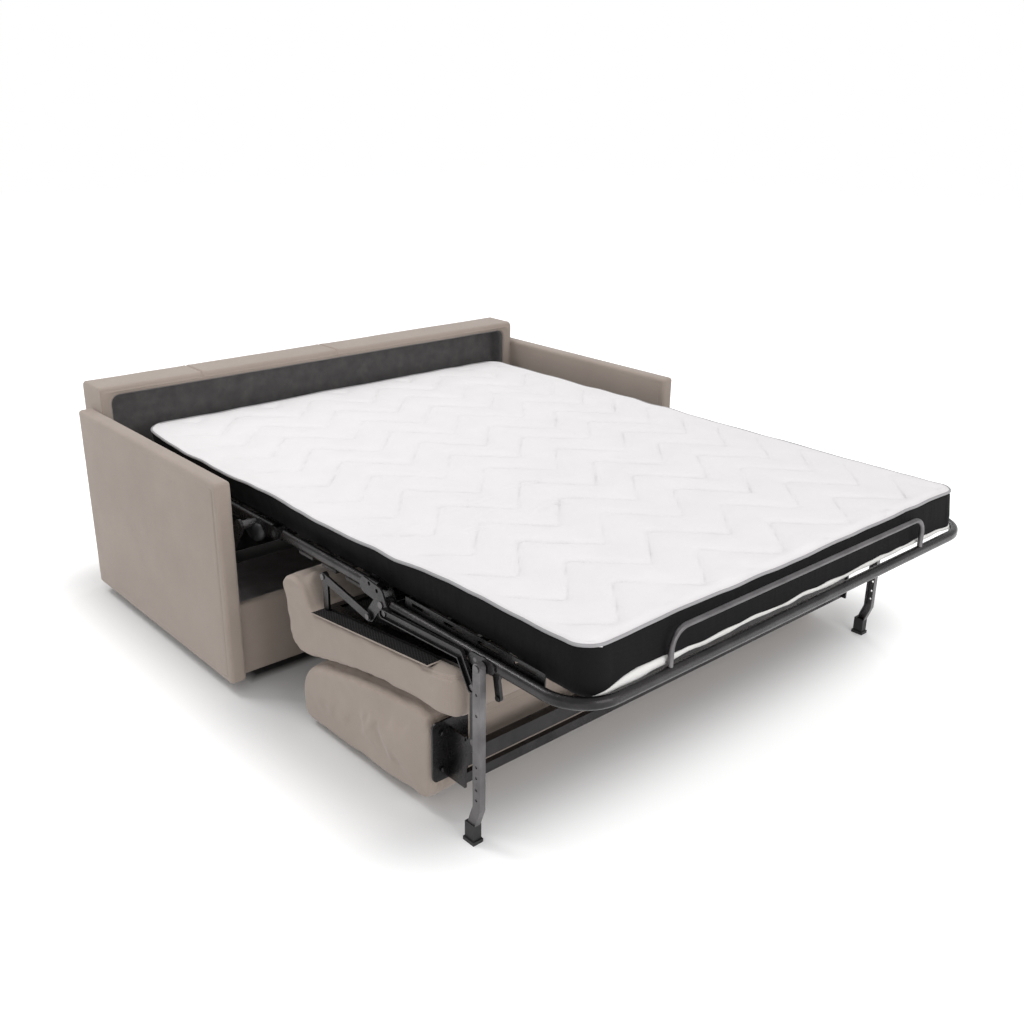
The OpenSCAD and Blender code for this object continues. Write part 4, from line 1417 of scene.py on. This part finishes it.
    def ring(self, y: float, across: int) -> list[Spot]:
        """One section of the mattress.

        Args:
            y: Where it is cut.
            across: Points across the top.

        Returns:
            The section's points: bottom, right side, top and left side.
        """
        d = max(0.0, min(self.head - y, y - self.foot))
        w = self.half_x - self.corner_inset(d, self.plan_r)
        lift = self.corner_inset(d, self.edge_r)
        z0, z1 = self.low + lift, self.low + self.thick - lift
        r = max(self.edge_r - lift * 0.9, 0.0008)
        flat = w * (1 - r / w)
        xs = flat * np.linspace(-1, 1, across)

        def flank(z: float) -> float:
            """Bulge of the border at a height."""
            bulge = math.sin(math.pi * (z - z0) / max(z1 - z0, 1e-6))
            return (0.0022 * min(1.0, d / 0.05) + 0.0012 * ripple((w, y, z), 0.06, 9.0)) * bulge

        arc = [(r * math.sin(a), r * (1 - math.cos(a))) for a in np.linspace(0, QUARTER, 5)[1:-1]]
        side = [(flat + out, y, z0 + up) for out, up in arc]
        side += [(w + flank(z), y, z) for z in np.linspace(z0 + r, z1 - r, self.side_steps)]
        side += [(flat + out, y, z1 - up) for out, up in reversed(arc)]
        points = [(x, y, z0) for x in xs] + side
        for x in reversed(xs):
            near = min(w - abs(x), d)
            swell = self.crown * min(1.0, d / 0.2) * (1 - (x / w) ** 2)
            dip = 0.0035 * bell(max(near - 0.012, 0), 0.012) * min(1.0, near / 0.006) * min(1.0, d / 0.01)
            points.append((x, y, z1 + swell + self.quilt(x, y) * unit((near - 0.006) / 0.05) - dip))
        return points + [(-x, yy, z) for x, yy, z in reversed(side)]

    def rows(self, start: float, end: float) -> list[float]:
        """Where the sections lie between two places, closer at a free end.

        Args:
            start: Nearer the head.
            end: Nearer the foot.

        Returns:
            The sections' places.
        """
        steps = (0.0, 0.0006, 0.002, 0.004, 0.007, 0.0105, 0.015, 0.021, 0.028, 0.036, 0.045, 0.055)
        marks = [self.head - s for s in steps] + [self.foot + s for s in steps]
        inner = np.linspace(start, end, max(2, int(round((start - end) / self.pitch))))
        wanted = [y for y in inner if self.head - y > 0.06 and y - self.foot > 0.06] + [start, end]
        wanted += [m for m in marks if end - 1e-9 <= m <= start + 1e-9]
        return sorted({round(v, 6) for v in wanted}, reverse=True)

    def skin(self, part: MattressPart) -> Object:
        """Builds one piece of the mattress. How deep each top point lies in a quilting groove is stored as a
        point attribute, which paints shade into the grooves.

        Args:
            part: Which piece.

        Returns:
            Its object.
        """
        across = int(2 * self.half_x / self.pitch)
        start, end = (self.head, self.joint) if part is MattressPart.HEAD else (self.joint, self.foot)
        rows = self.rows(start, end)
        points = [np.array(self.stray(p)) for y in rows for p in self.ring(y, across)]
        count = len(points) // len(rows)
        side = (count - 2 * across) // 2
        top = range(across + side - 3, 2 * across + side + 2)
        faces = ring_faces(len(rows), count)[:-2]  # the ends get a grid in place of the plain caps
        slots: list[int] = []
        for a, b in zip(rows[:-1], rows[1:]):
            inside = min(self.head - (a + b) / 2, (a + b) / 2 - self.foot) > 0.0016
            slots += [0 if inside and i in top else 1 for i in range(count)]
        for first in (0, (len(rows) - 1) * count):
            faces += self._end_grid(points, first, across, side)
        slots += [1] * (len(faces) - len(slots))
        f = self.shop.finishes
        name, looks = f"mattress_{part.value}_skin", [f.ticking, f.border]
        skin = make_mesh(name, points, faces, looks, slots, merge=1e-5)
        self._crease(skin)
        # Painted groove shade: 0 to 1 by how deep a top point lies in a quilting groove, read by the ticking.
        level = self.low + self.thick - 0.020
        values = [
            unit(-(self.quilt(x, y) + 0.003) / self.groove) if z >= level else 0.0
            for x, y, z in read(skin)
        ]
        skin.data.attributes.new("painted_groove_shade", "FLOAT", "POINT").data.foreach_set("value", values)
        return skin

    @staticmethod
    def _end_grid(points: list[np.ndarray], first: int, across: int, side: int) -> list[tuple[int, ...]]:
        """Closes a section with a grid of faces.

        Args:
            points: Points so far, added to.
            first: Number of the section's first point.
            across: Points across the top.
            side: Points up one side.

        Returns:
            The grid's faces.
        """
        bottom = [first + i for i in range(across)]
        right = [first + across + i for i in range(side)]
        top = [first + across + side + i for i in range(across)][::-1]
        left = [first + 2 * across + side + i for i in range(side)][::-1]
        lines = [bottom]
        for k in range(side):
            t = (k + 1) / (side + 1)
            fresh = len(points)
            points += [points[bottom[i]] * (1 - t) + points[top[i]] * t for i in range(1, across - 1)]
            lines.append([left[k], *range(fresh, len(points)), right[k]])
        lines.append(top)
        bands = zip(lines[:-1], lines[1:])
        return [(a[i], a[i + 1], b[i + 1], b[i]) for a, b in bands for i in range(across - 1)]

    def _crease(self, skin: Object) -> None:
        """Keeps the cut across the middle sharp, so that both pieces shade alike.

        Args:
            skin: The piece.
        """
        work = bmesh.new()
        work.from_mesh(skin.data)
        for e in work.edges:
            if all(abs(v.co.y - self.joint) < 1e-5 for v in e.verts):
                e.smooth = sum(abs(f.normal.y) > 0.95 for f in e.link_faces) != 1
        work.to_mesh(skin.data)
        work.free()

    def plan(self, part: MattressPart, out: float, z: float, wander: float, seed: float) -> np.ndarray:
        """Path round one piece's free edges, from its cut on the left to its cut on the right.

        Args:
            part: Which piece.
            out: How far outside the skin the path runs.
            z: Its height.
            wander: How far it strays up and down.
            seed: Shifts the straying.

        Returns:
            The path's points.
        """
        end, sign = (self.head, 1.0) if part is MattressPart.HEAD else (self.foot, -1.0)
        r, w, stop = self.plan_r + out, self.half_x + out, end + sign * out
        run = abs(stop - self.joint) - r
        left = [(-w, self.joint + sign * run * t) for t in np.linspace(0, 1, int(run / 0.02) + 2)]
        left += [(drop - w, stop - sign * inset) for drop, inset in rolled(r, r, 9)[1:-1]]
        foot = [((w - r) * t, stop) for t in np.linspace(-1, 1, 68)]
        points = []
        for x, y in left + foot + [(-x, y) for x, y in reversed(left)]:
            up = wander * ripple((x, y, z), 0.07, seed) * min(1.0, abs(y - self.joint) / 0.1)
            points.append(self.stray((x, y, z + up)))
        return np.array(points)

    def trims(self, part: MattressPart) -> list[Object]:
        """Builds the rolled tape round the top, and the white hem under the foot end.

        Args:
            part: Which piece of the mattress they edge.

        Returns:
            The tape and, at the foot, the hem.
        """
        f = self.shop.finishes
        top = self.plan(part, -0.0008, self.low + self.thick - 0.0058, 0.0010, 1.0)
        made = [curve_tube(f"mattress_{part.value}_tape", top, 0.0034, f.tape, flat=1.1)]
        if part is MattressPart.FOOT:
            low = self.plan(part, 0.0010, self.low + 0.0060, 0.0050, 6.0)
            low = low[low[:, 1] < self.foot + 0.45 * self.plan_r]
            size = 0.0036 * (0.72 + 0.50 * np.array([ripple(p, 0.06, 14.0) for p in low]))
            size *= 1 + 1.2 * bell(low[:, 0] + 0.53, 0.09)
            steps = np.arange(len(low))
            size *= np.clip(np.minimum(steps, steps[::-1]) / 3.0, 0.25, 1.0)
            made.append(curve_tube(f"mattress_{part.value}_hem", low, size, f.hem, sides=12, flat=2.0))
        return made

    def build(self) -> list[Object]:
        """Builds both pieces with their trims and hides the imported mattress pieces.

        Returns:
            The mattress's objects.
        """
        made = []
        head_nodes = ("mattress_head", "mattress_head_fold")
        foot_nodes = ("mattress_middle", "mattress_foot_fold", "mattress_foot")
        head = ("sofa_base", "middle_section", *self.hinge_head, self.bend_head)
        foot = ("middle_section", "foot_section", *self.hinge_foot, self.bend_foot)
        for part, (before, after, y, z, bend), nodes in (
            (MattressPart.HEAD, head, head_nodes),
            (MattressPart.FOOT, foot, foot_nodes),
        ):
            skin = self.skin(part)
            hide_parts(*nodes)
            for piece in [skin, *self.trims(part)]:
                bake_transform(piece)
                made.append(piece)
        return made


# Cushions


@dataclass
class StuffedForm:
    """Closed side outline carried across the sofa, then blown up as cloth over foam."""

    name: str
    corners: Sequence[Spot]
    half_x: float
    edge: float
    draw: float
    cloth: Material
    voxel: float = 0.010
    cap: float = 0.012
    pressure: float = 4.0
    shrink: float = 0.004
    frames: int = 20

    def block(self) -> Object:
        """Builds the plain stuffed block before it is blown up.

        Returns:
            The block's object.
        """
        rows = [(drop - self.half_x, inset) for drop, inset in rolled(self.edge, self.draw, 7)]
        rows += [(t * (self.half_x - self.edge), 0.0) for t in np.linspace(-1, 1, 24)[1:-1]]
        rows += [(-x, d) for x, d in reversed(rows[:7])]
        outline = soft_outline(self.corners, 0.012)
        normals = outline_normals(outline)
        narrow = 1 - self.shrink / self.half_x
        points = [(x * narrow, y, z) for x, d in rows for y, z in outline - (d + self.shrink) * normals]
        return make_mesh(self.name, points, ring_faces(len(rows), len(outline)), [self.cloth])

    def blow(self, obj: Object) -> None:
        """Puts the form under pressure as cloth, and caps how far each point has moved.

        Args:
            obj: The form's object.
        """
        rest = read(obj)
        cloth = obj.modifiers.new("cloth", "CLOTH")
        settings = {
            "quality": 4, "mass": 0.3, "tension_stiffness": 20, "compression_stiffness": 20,
            "bending_stiffness": 0.8, "use_pressure": True, "uniform_pressure_force": self.pressure,
        }
        for name, value in settings.items():
            setattr(cloth.settings, name, value)
        cloth.settings.effector_weights.gravity = 0.0
        cloth.collision_settings.use_collision = False
        scene = bpy.context.scene
        for frame in range(1, self.frames + 1):
            scene.frame_set(frame)
        bake(obj)
        step = read(obj) - rest
        far = np.linalg.norm(step, axis=1, keepdims=True)
        step *= np.minimum(1.0, self.cap / np.maximum(far, 1e-9))
        obj.data.vertices.foreach_set("co", (rest + step).ravel())
        scene.frame_set(1)

    def build(self) -> Object:
        """Builds the form: remesh, cloth under pressure, capped movement, one subdivision.

        Returns:
            The form's object, with its mesh final.
        """
        obj = self.block()
        remesh = obj.modifiers.new("even", "REMESH")
        remesh.mode = "VOXEL"
        remesh.voxel_size = self.voxel
        remesh.use_smooth_shade = True
        bake(obj)
        self.blow(obj)
        smooth = obj.modifiers.new("soft", "SUBSURF")
        smooth.levels = smooth.render_levels = 1
        bake(obj)
        obj.data.materials.clear()
        obj.data.materials.append(self.cloth)
        for face in obj.data.polygons:
            face.use_smooth = True
        return obj


def creases(points: np.ndarray, size: float, seed: float, fine: float, fine_seed: float) -> np.ndarray:
    """Slack of loose cloth: slow waves and finer ones of half their height.

    Args:
        points: Where it is wanted.
        size: Size of the slow waves in metres.
        seed: Shifts them.
        fine: Size of the finer waves.
        fine_seed: Shifts those.

    Returns:
        About -1.5 to 1.5 for each point, one per row.
    """
    return np.array([[ripple(p, size, seed) + 0.5 * ripple(p, fine, fine_seed)] for p in points])


def line_across(half: float, y: float, z: float) -> list[Spot]:
    """Straight line across the sofa, to be laid on a cushion."""
    return [(x, y, z) for x in np.linspace(-half, half, 150)]


def line_along(x: float, start: float, end: float) -> list[Spot]:
    """Straight line along the sofa, to be laid on a cushion's underside."""
    return [(x, y, 0.0) for y in np.linspace(start, end, 90)]


@dataclass
class SeatCushion:
    """Seat cushion that hangs upside down under the bed, with its mesh underside."""

    shop: Workshop
    half_x: float = 0.795
    back_y: float = KNEE - 0.313
    front_y: float = KNEE + 0.259
    front_z: float = 0.334
    back_z: float = 0.398
    edge: float = 0.016
    draw: float = 0.006
    plan_r: float = 0.080
    mesh_half: float = 0.786
    mesh_y: Row = (KNEE - 0.214, KNEE + 0.256)
    mesh_grid: tuple[int, int] = (120, 46)

    def under(self, y: float | np.ndarray) -> float | np.ndarray:
        """Height of the underside at a place along the sofa."""
        return self.front_z + (self.back_z - self.front_z) / (self.back_y - self.front_y) * (y - self.front_y)

    def drawn(self, y: float) -> float:
        """How far a side has drawn in at the rounded rear corners."""
        t = unit((self.back_y + self.plan_r - y) / self.plan_r)
        return 0.72 * self.plan_r * (1 - math.sqrt(1 - t * t))

    def fall(self, x: float) -> float:
        """How far the underside has rolled down near a side."""
        t = unit((abs(x) - self.half_x + self.edge) / self.edge)
        return self.draw * (1 - math.sqrt(1 - t * t))

    def corners(self) -> list[Spot]:
        """Side outline, anticlockwise."""
        k, heel, rear = KNEE, self.back_y + 0.080, self.back_y + 0.014
        return [
            (self.back_y, 0.286, 0.026), (k - 0.150, 0.277, 0.060), (k - 0.045, 0.268, 0.030),
            (k + 0.076, 0.246, 0.040), (k + 0.238, 0.208, 0.034), (k + 0.308, 0.191, 0.030),
            (k + 0.366, 0.220, 0.028), (k + 0.386, 0.307, 0.030), (k + 0.398, 0.388, 0.024),
            (k + 0.352, 0.424, 0.030), (k + 0.302, 0.404, 0.022), (k + 0.272, 0.350, 0.010),
            (self.front_y, self.front_z, 0.006), (heel, self.under(heel), 0.020),
            (rear, self.under(rear), 0.016), (self.back_y - 0.003, 0.345, 0.020),
        ]

    def shape(self, points: np.ndarray, normals: np.ndarray) -> np.ndarray:
        """Keeps the frame side flat, sews the end seams and rounds the rear corners.

        Args:
            points: The blown form's points.
            normals: Their normals.

        Returns:
            The new points.
        """
        out = points.copy()
        y = points[:, 1]
        limit = self.under(y)
        flat = (y < self.front_y - 0.004) & (normals[:, 2] > 0.3)
        out[:, 2] = np.where(flat, np.minimum(out[:, 2], limit - 0.0003), out[:, 2])
        for side in (-1, 1):
            pull = 0.0016 * bell(points[:, 0] - side * (self.half_x - 0.026), 0.004) * ~flat
            out -= normals * pull[:, None]
        end = 0.0042 * bell(points[:, 2] - limit + 0.015, 0.0030) * (y < self.mesh_y[0] + 0.03)
        out -= normals * end[:, None]
        out += normals * creases(points, 0.09, 2.0, 0.035, 4.0) * 0.0016 * ~flat[:, None]
        out[:, 0] = np.clip(out[:, 0], -self.half_x - 0.004, self.half_x + 0.004)
        out[:, 0] *= np.array([1 - self.drawn(v) / self.half_x for v in out[:, 1]])
        return out

    def build(self) -> Object:
        """Builds the cushion.

        Returns:
            The cushion's object.
        """
        cloth, name = self.shop.finishes.cloth, "seat_cushion_cover"
        form = StuffedForm(name, self.corners(), self.half_x, self.edge, self.draw, cloth, cap=0.008)
        seat = form.build()
        settle(seat, self.shape)
        wear(seat, "middle_section", ("seat_cushion",))
        skin = skin_tree(seat)
        self._stitch(skin)
        self._underside(skin)
        return seat

    def _stitch(self, skin: BVHTree) -> None:
        """Sews double rows along the end and down both side bands.

        Args:
            skin: Search tree of the cushion's skin.
        """
        rear = self.under(self.back_y)
        across = [line_across(0.76, self.back_y - 0.1, rear - low) for low in (0.009, 0.019)]
        paths = [laid_on(skin, line, (0, 1, 0)) for line in across]
        ys = np.linspace(self.back_y + 0.02, self.mesh_y[0] + 0.01, 24)
        for side in (-1, 1):
            for low in (0.0095, 0.0165):
                line = [(side * (self.half_x + 0.1), y, self.under(y) - low) for y in ys]
                paths.append(laid_on(skin, line, (-side, 0, 0)))
            for inset in (0.019, 0.033):
                line = line_along(side * (self.half_x - inset), self.back_y + 0.04, KNEE + 0.30)
                paths.append(laid_on(skin, line, (0, 0, 1)))
        self.shop.sew("seat_stitches", paths, "middle_section")

    def _underside(self, skin: BVHTree) -> None:
        """Lays the honeycomb cloth over the underside, inside its bound margin.

        Args:
            skin: Search tree of the cushion's skin.
        """
        half, (lo, hi) = self.mesh_half, self.mesh_y
        nx, ny = self.mesh_grid

        def skin_z(x: float, y: float) -> float:
            """Height of the cushion's own skin."""
            hit = skin.ray_cast(Vector((x, y, 0.50)), Vector((0.0, 0.0, -1.0)), 0.3)[0]
            return self.under(y) - self.fall(x) if hit is None else min(hit.z, self.under(y))

        points = []
        for y in np.linspace(hi, lo, ny):
            for x in np.linspace(-half, half, nx):
                edge = min(half - abs(x), y - lo, hi - y)
                puff = 0.0022 * min(1.0, edge / 0.06) + 0.0008 * ripple((x, y, 0), 0.08, 3.0)
                laid = min(1.0, edge / 0.030)
                level = self.under(y)
                if laid < 1.0:
                    level = level * laid + skin_z(x, y) * (1 - laid)
                points.append((x, y, level + 0.0008 + max(puff, 0.0)))
        top = len(points)
        points += [(x, y, z - 0.0006) for x, y, z in points]
        faces: list[tuple[int, ...]] = []
        for a in (j * nx + i for j in range(ny - 1) for i in range(nx - 1)):
            b = a + nx
            faces += [(a, a + 1, b + 1, b), (top + a, top + b, top + b + 1, top + a + 1)]
        grid = np.arange(nx * ny).reshape(ny, nx)
        rim = np.concatenate([grid[0], grid[1:, -1], grid[-1, -2::-1], grid[-2:0:-1, 0]]).tolist()
        faces += [(a, b, top + b, top + a) for a, b in zip(rim, rim[1:] + rim[:1])]
        cloth = make_mesh("seat_honeycomb", points, faces, [self.shop.finishes.mesh])
        wear(cloth, "middle_section", stands_for=("seat_mesh",))
        corners = np.array([(-half, lo), (half, lo), (half, hi), (-half, hi), (-half, lo)])
        steps = np.linspace(0, 1, 41)[:-1]
        ring = [a + (b - a) * t for a, b in zip(corners[:-1], corners[1:]) for t in steps]
        path = np.array([(x, y, skin_z(x, y) + 0.0002) for x, y in ring])
        name = "seat_honeycomb_binding"
        binding = curve_tube(name, path, 0.0022, self.shop.finishes.cloth, closed=True, flat=0.6)
        wear(binding, "middle_section")


@dataclass
class BackCushion:
    """Back cushion that folds onto the seat and hangs lowest under the bed."""

    shop: Workshop
    half_x: float = 0.795
    edge: float = 0.026
    draw: float = 0.008
    end_y: float = KNEE - 0.228
    floor_z: float = 0.014
    seam_z: float = 0.216

    def corners(self) -> list[Spot]:
        """Side outline, anticlockwise."""
        k = KNEE
        return [
            (self.end_y, 0.060, 0.018), (k - 0.196, 0.030, 0.022), (k - 0.045, 0.022, 0.040),
            (k + 0.110, 0.015, 0.040), (k + 0.322, 0.014, 0.032), (k + 0.332, 0.112, 0.032),
            (k + 0.300, 0.166, 0.026), (k + 0.236, 0.196, 0.026), (k + 0.076, 0.229, 0.040),
            (k - 0.045, 0.249, 0.040), (k - 0.176, 0.262, 0.018), (k - 0.212, 0.256, 0.016),
            (self.end_y, 0.214, 0.020),
        ]

    def shape(self, points: np.ndarray, normals: np.ndarray) -> np.ndarray:
        """Keeps the plate's end flat and sews the boxing lines.

        Args:
            points: The blown form's points.
            normals: Their normals.

        Returns:
            The new points.
        """
        out = points + normals * creases(points, 0.11, 6.0, 0.04, 9.0) * 0.0018
        for side in (-1, 1):
            out -= normals * 0.0022 * bell(points[:, :1] - side * (self.half_x - 0.036), 0.004)
        seam = bell(points[:, 2] - self.seam_z, 0.0035) * (points[:, 1] < self.end_y + 0.03)
        out -= normals * (0.002 * seam)[:, None]
        low = (-self.half_x - 0.004, self.end_y, self.floor_z)
        return np.clip(out, low, (self.half_x + 0.004, np.inf, np.inf))

    def build(self) -> Object:
        """Builds the cushion.

        Returns:
            The cushion's object.
        """
        cloth, name = self.shop.finishes.cloth, "back_cushion_cover"
        sizes = (self.half_x, self.edge, self.draw)
        back = StuffedForm(name, self.corners(), *sizes, cloth, cap=0.009, shrink=0.002).build()
        settle(back, self.shape)
        wear(back, "back_unit", ("back_cushion",))
        skin = skin_tree(back)
        edges = [side * (self.half_x - inset) for side in (-1, 1) for inset in (0.029, 0.043)]
        paths = [laid_on(skin, line_along(x, self.end_y + 0.03, KNEE + 0.27), (0, 0, 1)) for x in edges]
        for z in (self.seam_z - 0.007, self.seam_z + 0.007):
            paths.append(laid_on(skin, line_across(0.68, self.end_y - 0.1, z), (0, 1, 0)))
        self.shop.sew("back_stitches", paths, "back_unit")
        return back


# Steel parts


@dataclass
class SteelWork:
    """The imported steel, ply and plastic pieces with their finishes, and their small heads."""

    shop: Workshop
    finish_by_slot: dict[str, str] = field(default_factory=lambda: {
        "frame_steel": "steel", "pins": "pins", "black_plastic": "plastic", "timber": "ply",
        "felt": "felt", "upholstery": "cloth", "mattress": "ticking", "mesh": "mesh",
    })
    finish_by_node: dict[str, str] = field(default_factory=lambda: {
        # The legs and the hoop take the lighter steel with painted reflection.
        "leg_left": "leg_steel", "leg_right": "leg_steel", "mattress_hoop": "leg_steel",
        # The base's floor and side boards take the felt with painted light.
        "base_floor": "liner", "side_board_left": "liner", "side_board_right": "liner",
    })
    boot_yz: tuple[Row, ...] = (
        (-0.812, 0.4540), (-0.826, 0.4490), (-0.842, 0.4440), (-0.858, 0.4430), (-0.874, 0.4480),
        (-0.888, 0.4560), (-0.897, 0.4630),
    )
    boot_radii: tuple[float, ...] = (0.014, 0.0205, 0.0235, 0.0245, 0.0225, 0.0175, 0.0105)
    boot_size: float = 0.68
    boot_x: float = 0.752
    bolt_x: float = 0.765
    bolt_z: Row = (0.130, 0.222)
    bolt_y: float = KNEE - 0.228 - 0.0003 - 0.005

    def dress(self, frame: dict) -> None:
        """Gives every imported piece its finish.

        Args:
            frame: What the frame loader returned.
        """
        slots = {s["node"]: s["material_slot"] for s in frame["record"]["subparts"]}
        for name, node in frame["nodes"].items():
            finish = self.finish_by_node.get(name, self.finish_by_slot[slots.get(name, "frame_steel")])
            node.data.materials.clear()
            node.data.materials.append(getattr(self.shop.finishes, finish))

    def heads(self) -> None:
        """Adds the heads of the bolts that hold the back cushion's plates."""
        spots = [(x, self.bolt_y, z) for x in (-self.bolt_x, self.bolt_x) for z in self.bolt_z]
        sizes = {"Radius": 0.0065, "Height": 0.0045, "Sides": 6}
        bolts = self.shop.studs.run(
            "plate_bolts", spots, [], **sizes, Facing=(0, -1, 0), Finish=self.shop.finishes.steel
        )
        wear(bolts, "back_unit")

    def hinge_boots(self) -> None:
        """Adds the black covers beside the head hinges, on the fixed frame."""
        radii = np.array(self.boot_radii) * self.boot_size
        for x, side in ((-self.boot_x, "left"), (self.boot_x, "right")):
            path = np.array([(x, y, z) for y, z in self.boot_yz])
            name, plastic = f"hinge_boot_{side}", self.shop.finishes.plastic
            boot = curve_tube(name, path, radii, plastic, sides=20, flat=1.6)
            wear(boot, "sofa_base")


# Studio


@dataclass
class Studio:
    """Pale floor, soft lights and the camera at the photograph's angle."""

    eye: Spot = (-2.025, -3.290, 1.537)
    yaw: float = 41.76
    pitch: float = 21.15
    roll: float = 0.76
    focal: float = 1096.0
    frame: float = 1024.0
    sensor: float = 36.0
    floor_half: float = 14.0
    daylight: float = 0.74
    lamps: tuple[tuple[str, Spot, Spot, float, float], ...] = (
        ("key", (-1.9, 1.1, 3.9), (0.0, -0.9, 0.3), 1.3, 50.0),
        ("fill", (-0.4, -5.2, 1.4), (0.0, -0.8, 0.35), 2.4, 56.0),
        ("rim", (2.8, 1.6, 2.6), (0.0, -0.6, 0.5), 0.8, 14.0),
    )

    def camera(self) -> None:
        """Places the camera."""
        yaw, pitch, roll = (math.radians(v) for v in (self.yaw, self.pitch, self.roll))
        ahead = Vector((math.sin(yaw) * math.cos(pitch), math.cos(yaw) * math.cos(pitch), -math.sin(pitch)))
        right = Vector((math.cos(yaw), -math.sin(yaw), 0.0))
        up = right.cross(ahead)
        tilted = right * math.cos(roll) + up * math.sin(roll)
        top = up * math.cos(roll) - right * math.sin(roll)
        data = bpy.data.cameras.new("view")
        data.sensor_width = self.sensor
        data.lens = self.sensor * self.focal / self.frame
        data.clip_end = 60.0
        cam = link("view", data)
        cam.matrix_world = Matrix.Translation(self.eye) @ Matrix((tilted, top, -ahead)).transposed().to_4x4()
        bpy.context.scene.camera = cam

    def softboxes(self) -> None:
        """Hangs the square softboxes: name, place, aim, side and watts of each."""
        for name, at, to, size, power in self.lamps:
            data = bpy.data.lights.new(name, "AREA")
            data.shape, data.size, data.energy = "SQUARE", size, power
            lamp = link(name, data)
            lamp.location = at
            lamp.rotation_euler = (Vector(to) - Vector(at)).to_track_quat("-Z", "Y").to_euler()

    def build(self) -> None:
        """Builds floor, world, lamps and camera."""
        half = self.floor_half
        corners = [(-half, -half, 0), (half, -half, 0), (half, half, 0), (-half, half, 0)]
        make_mesh("studio_floor", corners, [(0, 1, 2, 3)], [StudioFloor().build()])
        world = bpy.data.worlds.new("studio")
        world.use_nodes = True
        world.node_tree.nodes.clear()
        s = Sketch(world.node_tree)
        rays = s.node("ShaderNodeLightPath").outputs
        seen = s.math("MAXIMUM", rays["Is Camera Ray"], rays["Is Transmission Ray"])
        plain, white = (
            s.node("ShaderNodeBackground", {"Color": (1.0, 1.0, 1.0, 1.0), "Strength": strength}).outputs[0]
            for strength in (self.daylight, 1.0)
        )
        both = s.node("ShaderNodeMixShader", {0: seen, 1: plain, 2: white})
        s.node("ShaderNodeOutputWorld", {"Surface": both.outputs[0]})
        bpy.context.scene.world = world
        self.softboxes()
        self.camera()
        bpy.context.scene.view_settings.view_transform = "Standard"


def main() -> None:
    """Builds the sofa bed in order and reports each piece."""
    logging.basicConfig(level=logging.INFO, format="%(name)s: %(message)s")
    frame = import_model()
    shop = Workshop()
    steel = SteelWork(shop)
    steel.dress(frame)
    LOG.info("packed pieces dressed: %d", len(frame["nodes"]))
    arms = (SlimArm(shop, -1), SlimArm(shop, 1))
    cushions = (SeatCushion(shop), BackCushion(shop))
    for part in (*arms, BackBox(shop), FrontPanel(shop), Mattress(shop), *cushions):
        made = part.build()
        for obj in made if isinstance(made, list) else [made]:
            LOG.info("%s: %d faces", obj.name, len(obj.data.polygons))
    steel.heads()
    steel.hinge_boots()
    Studio().build()


if __name__ == "__main__":
    main()
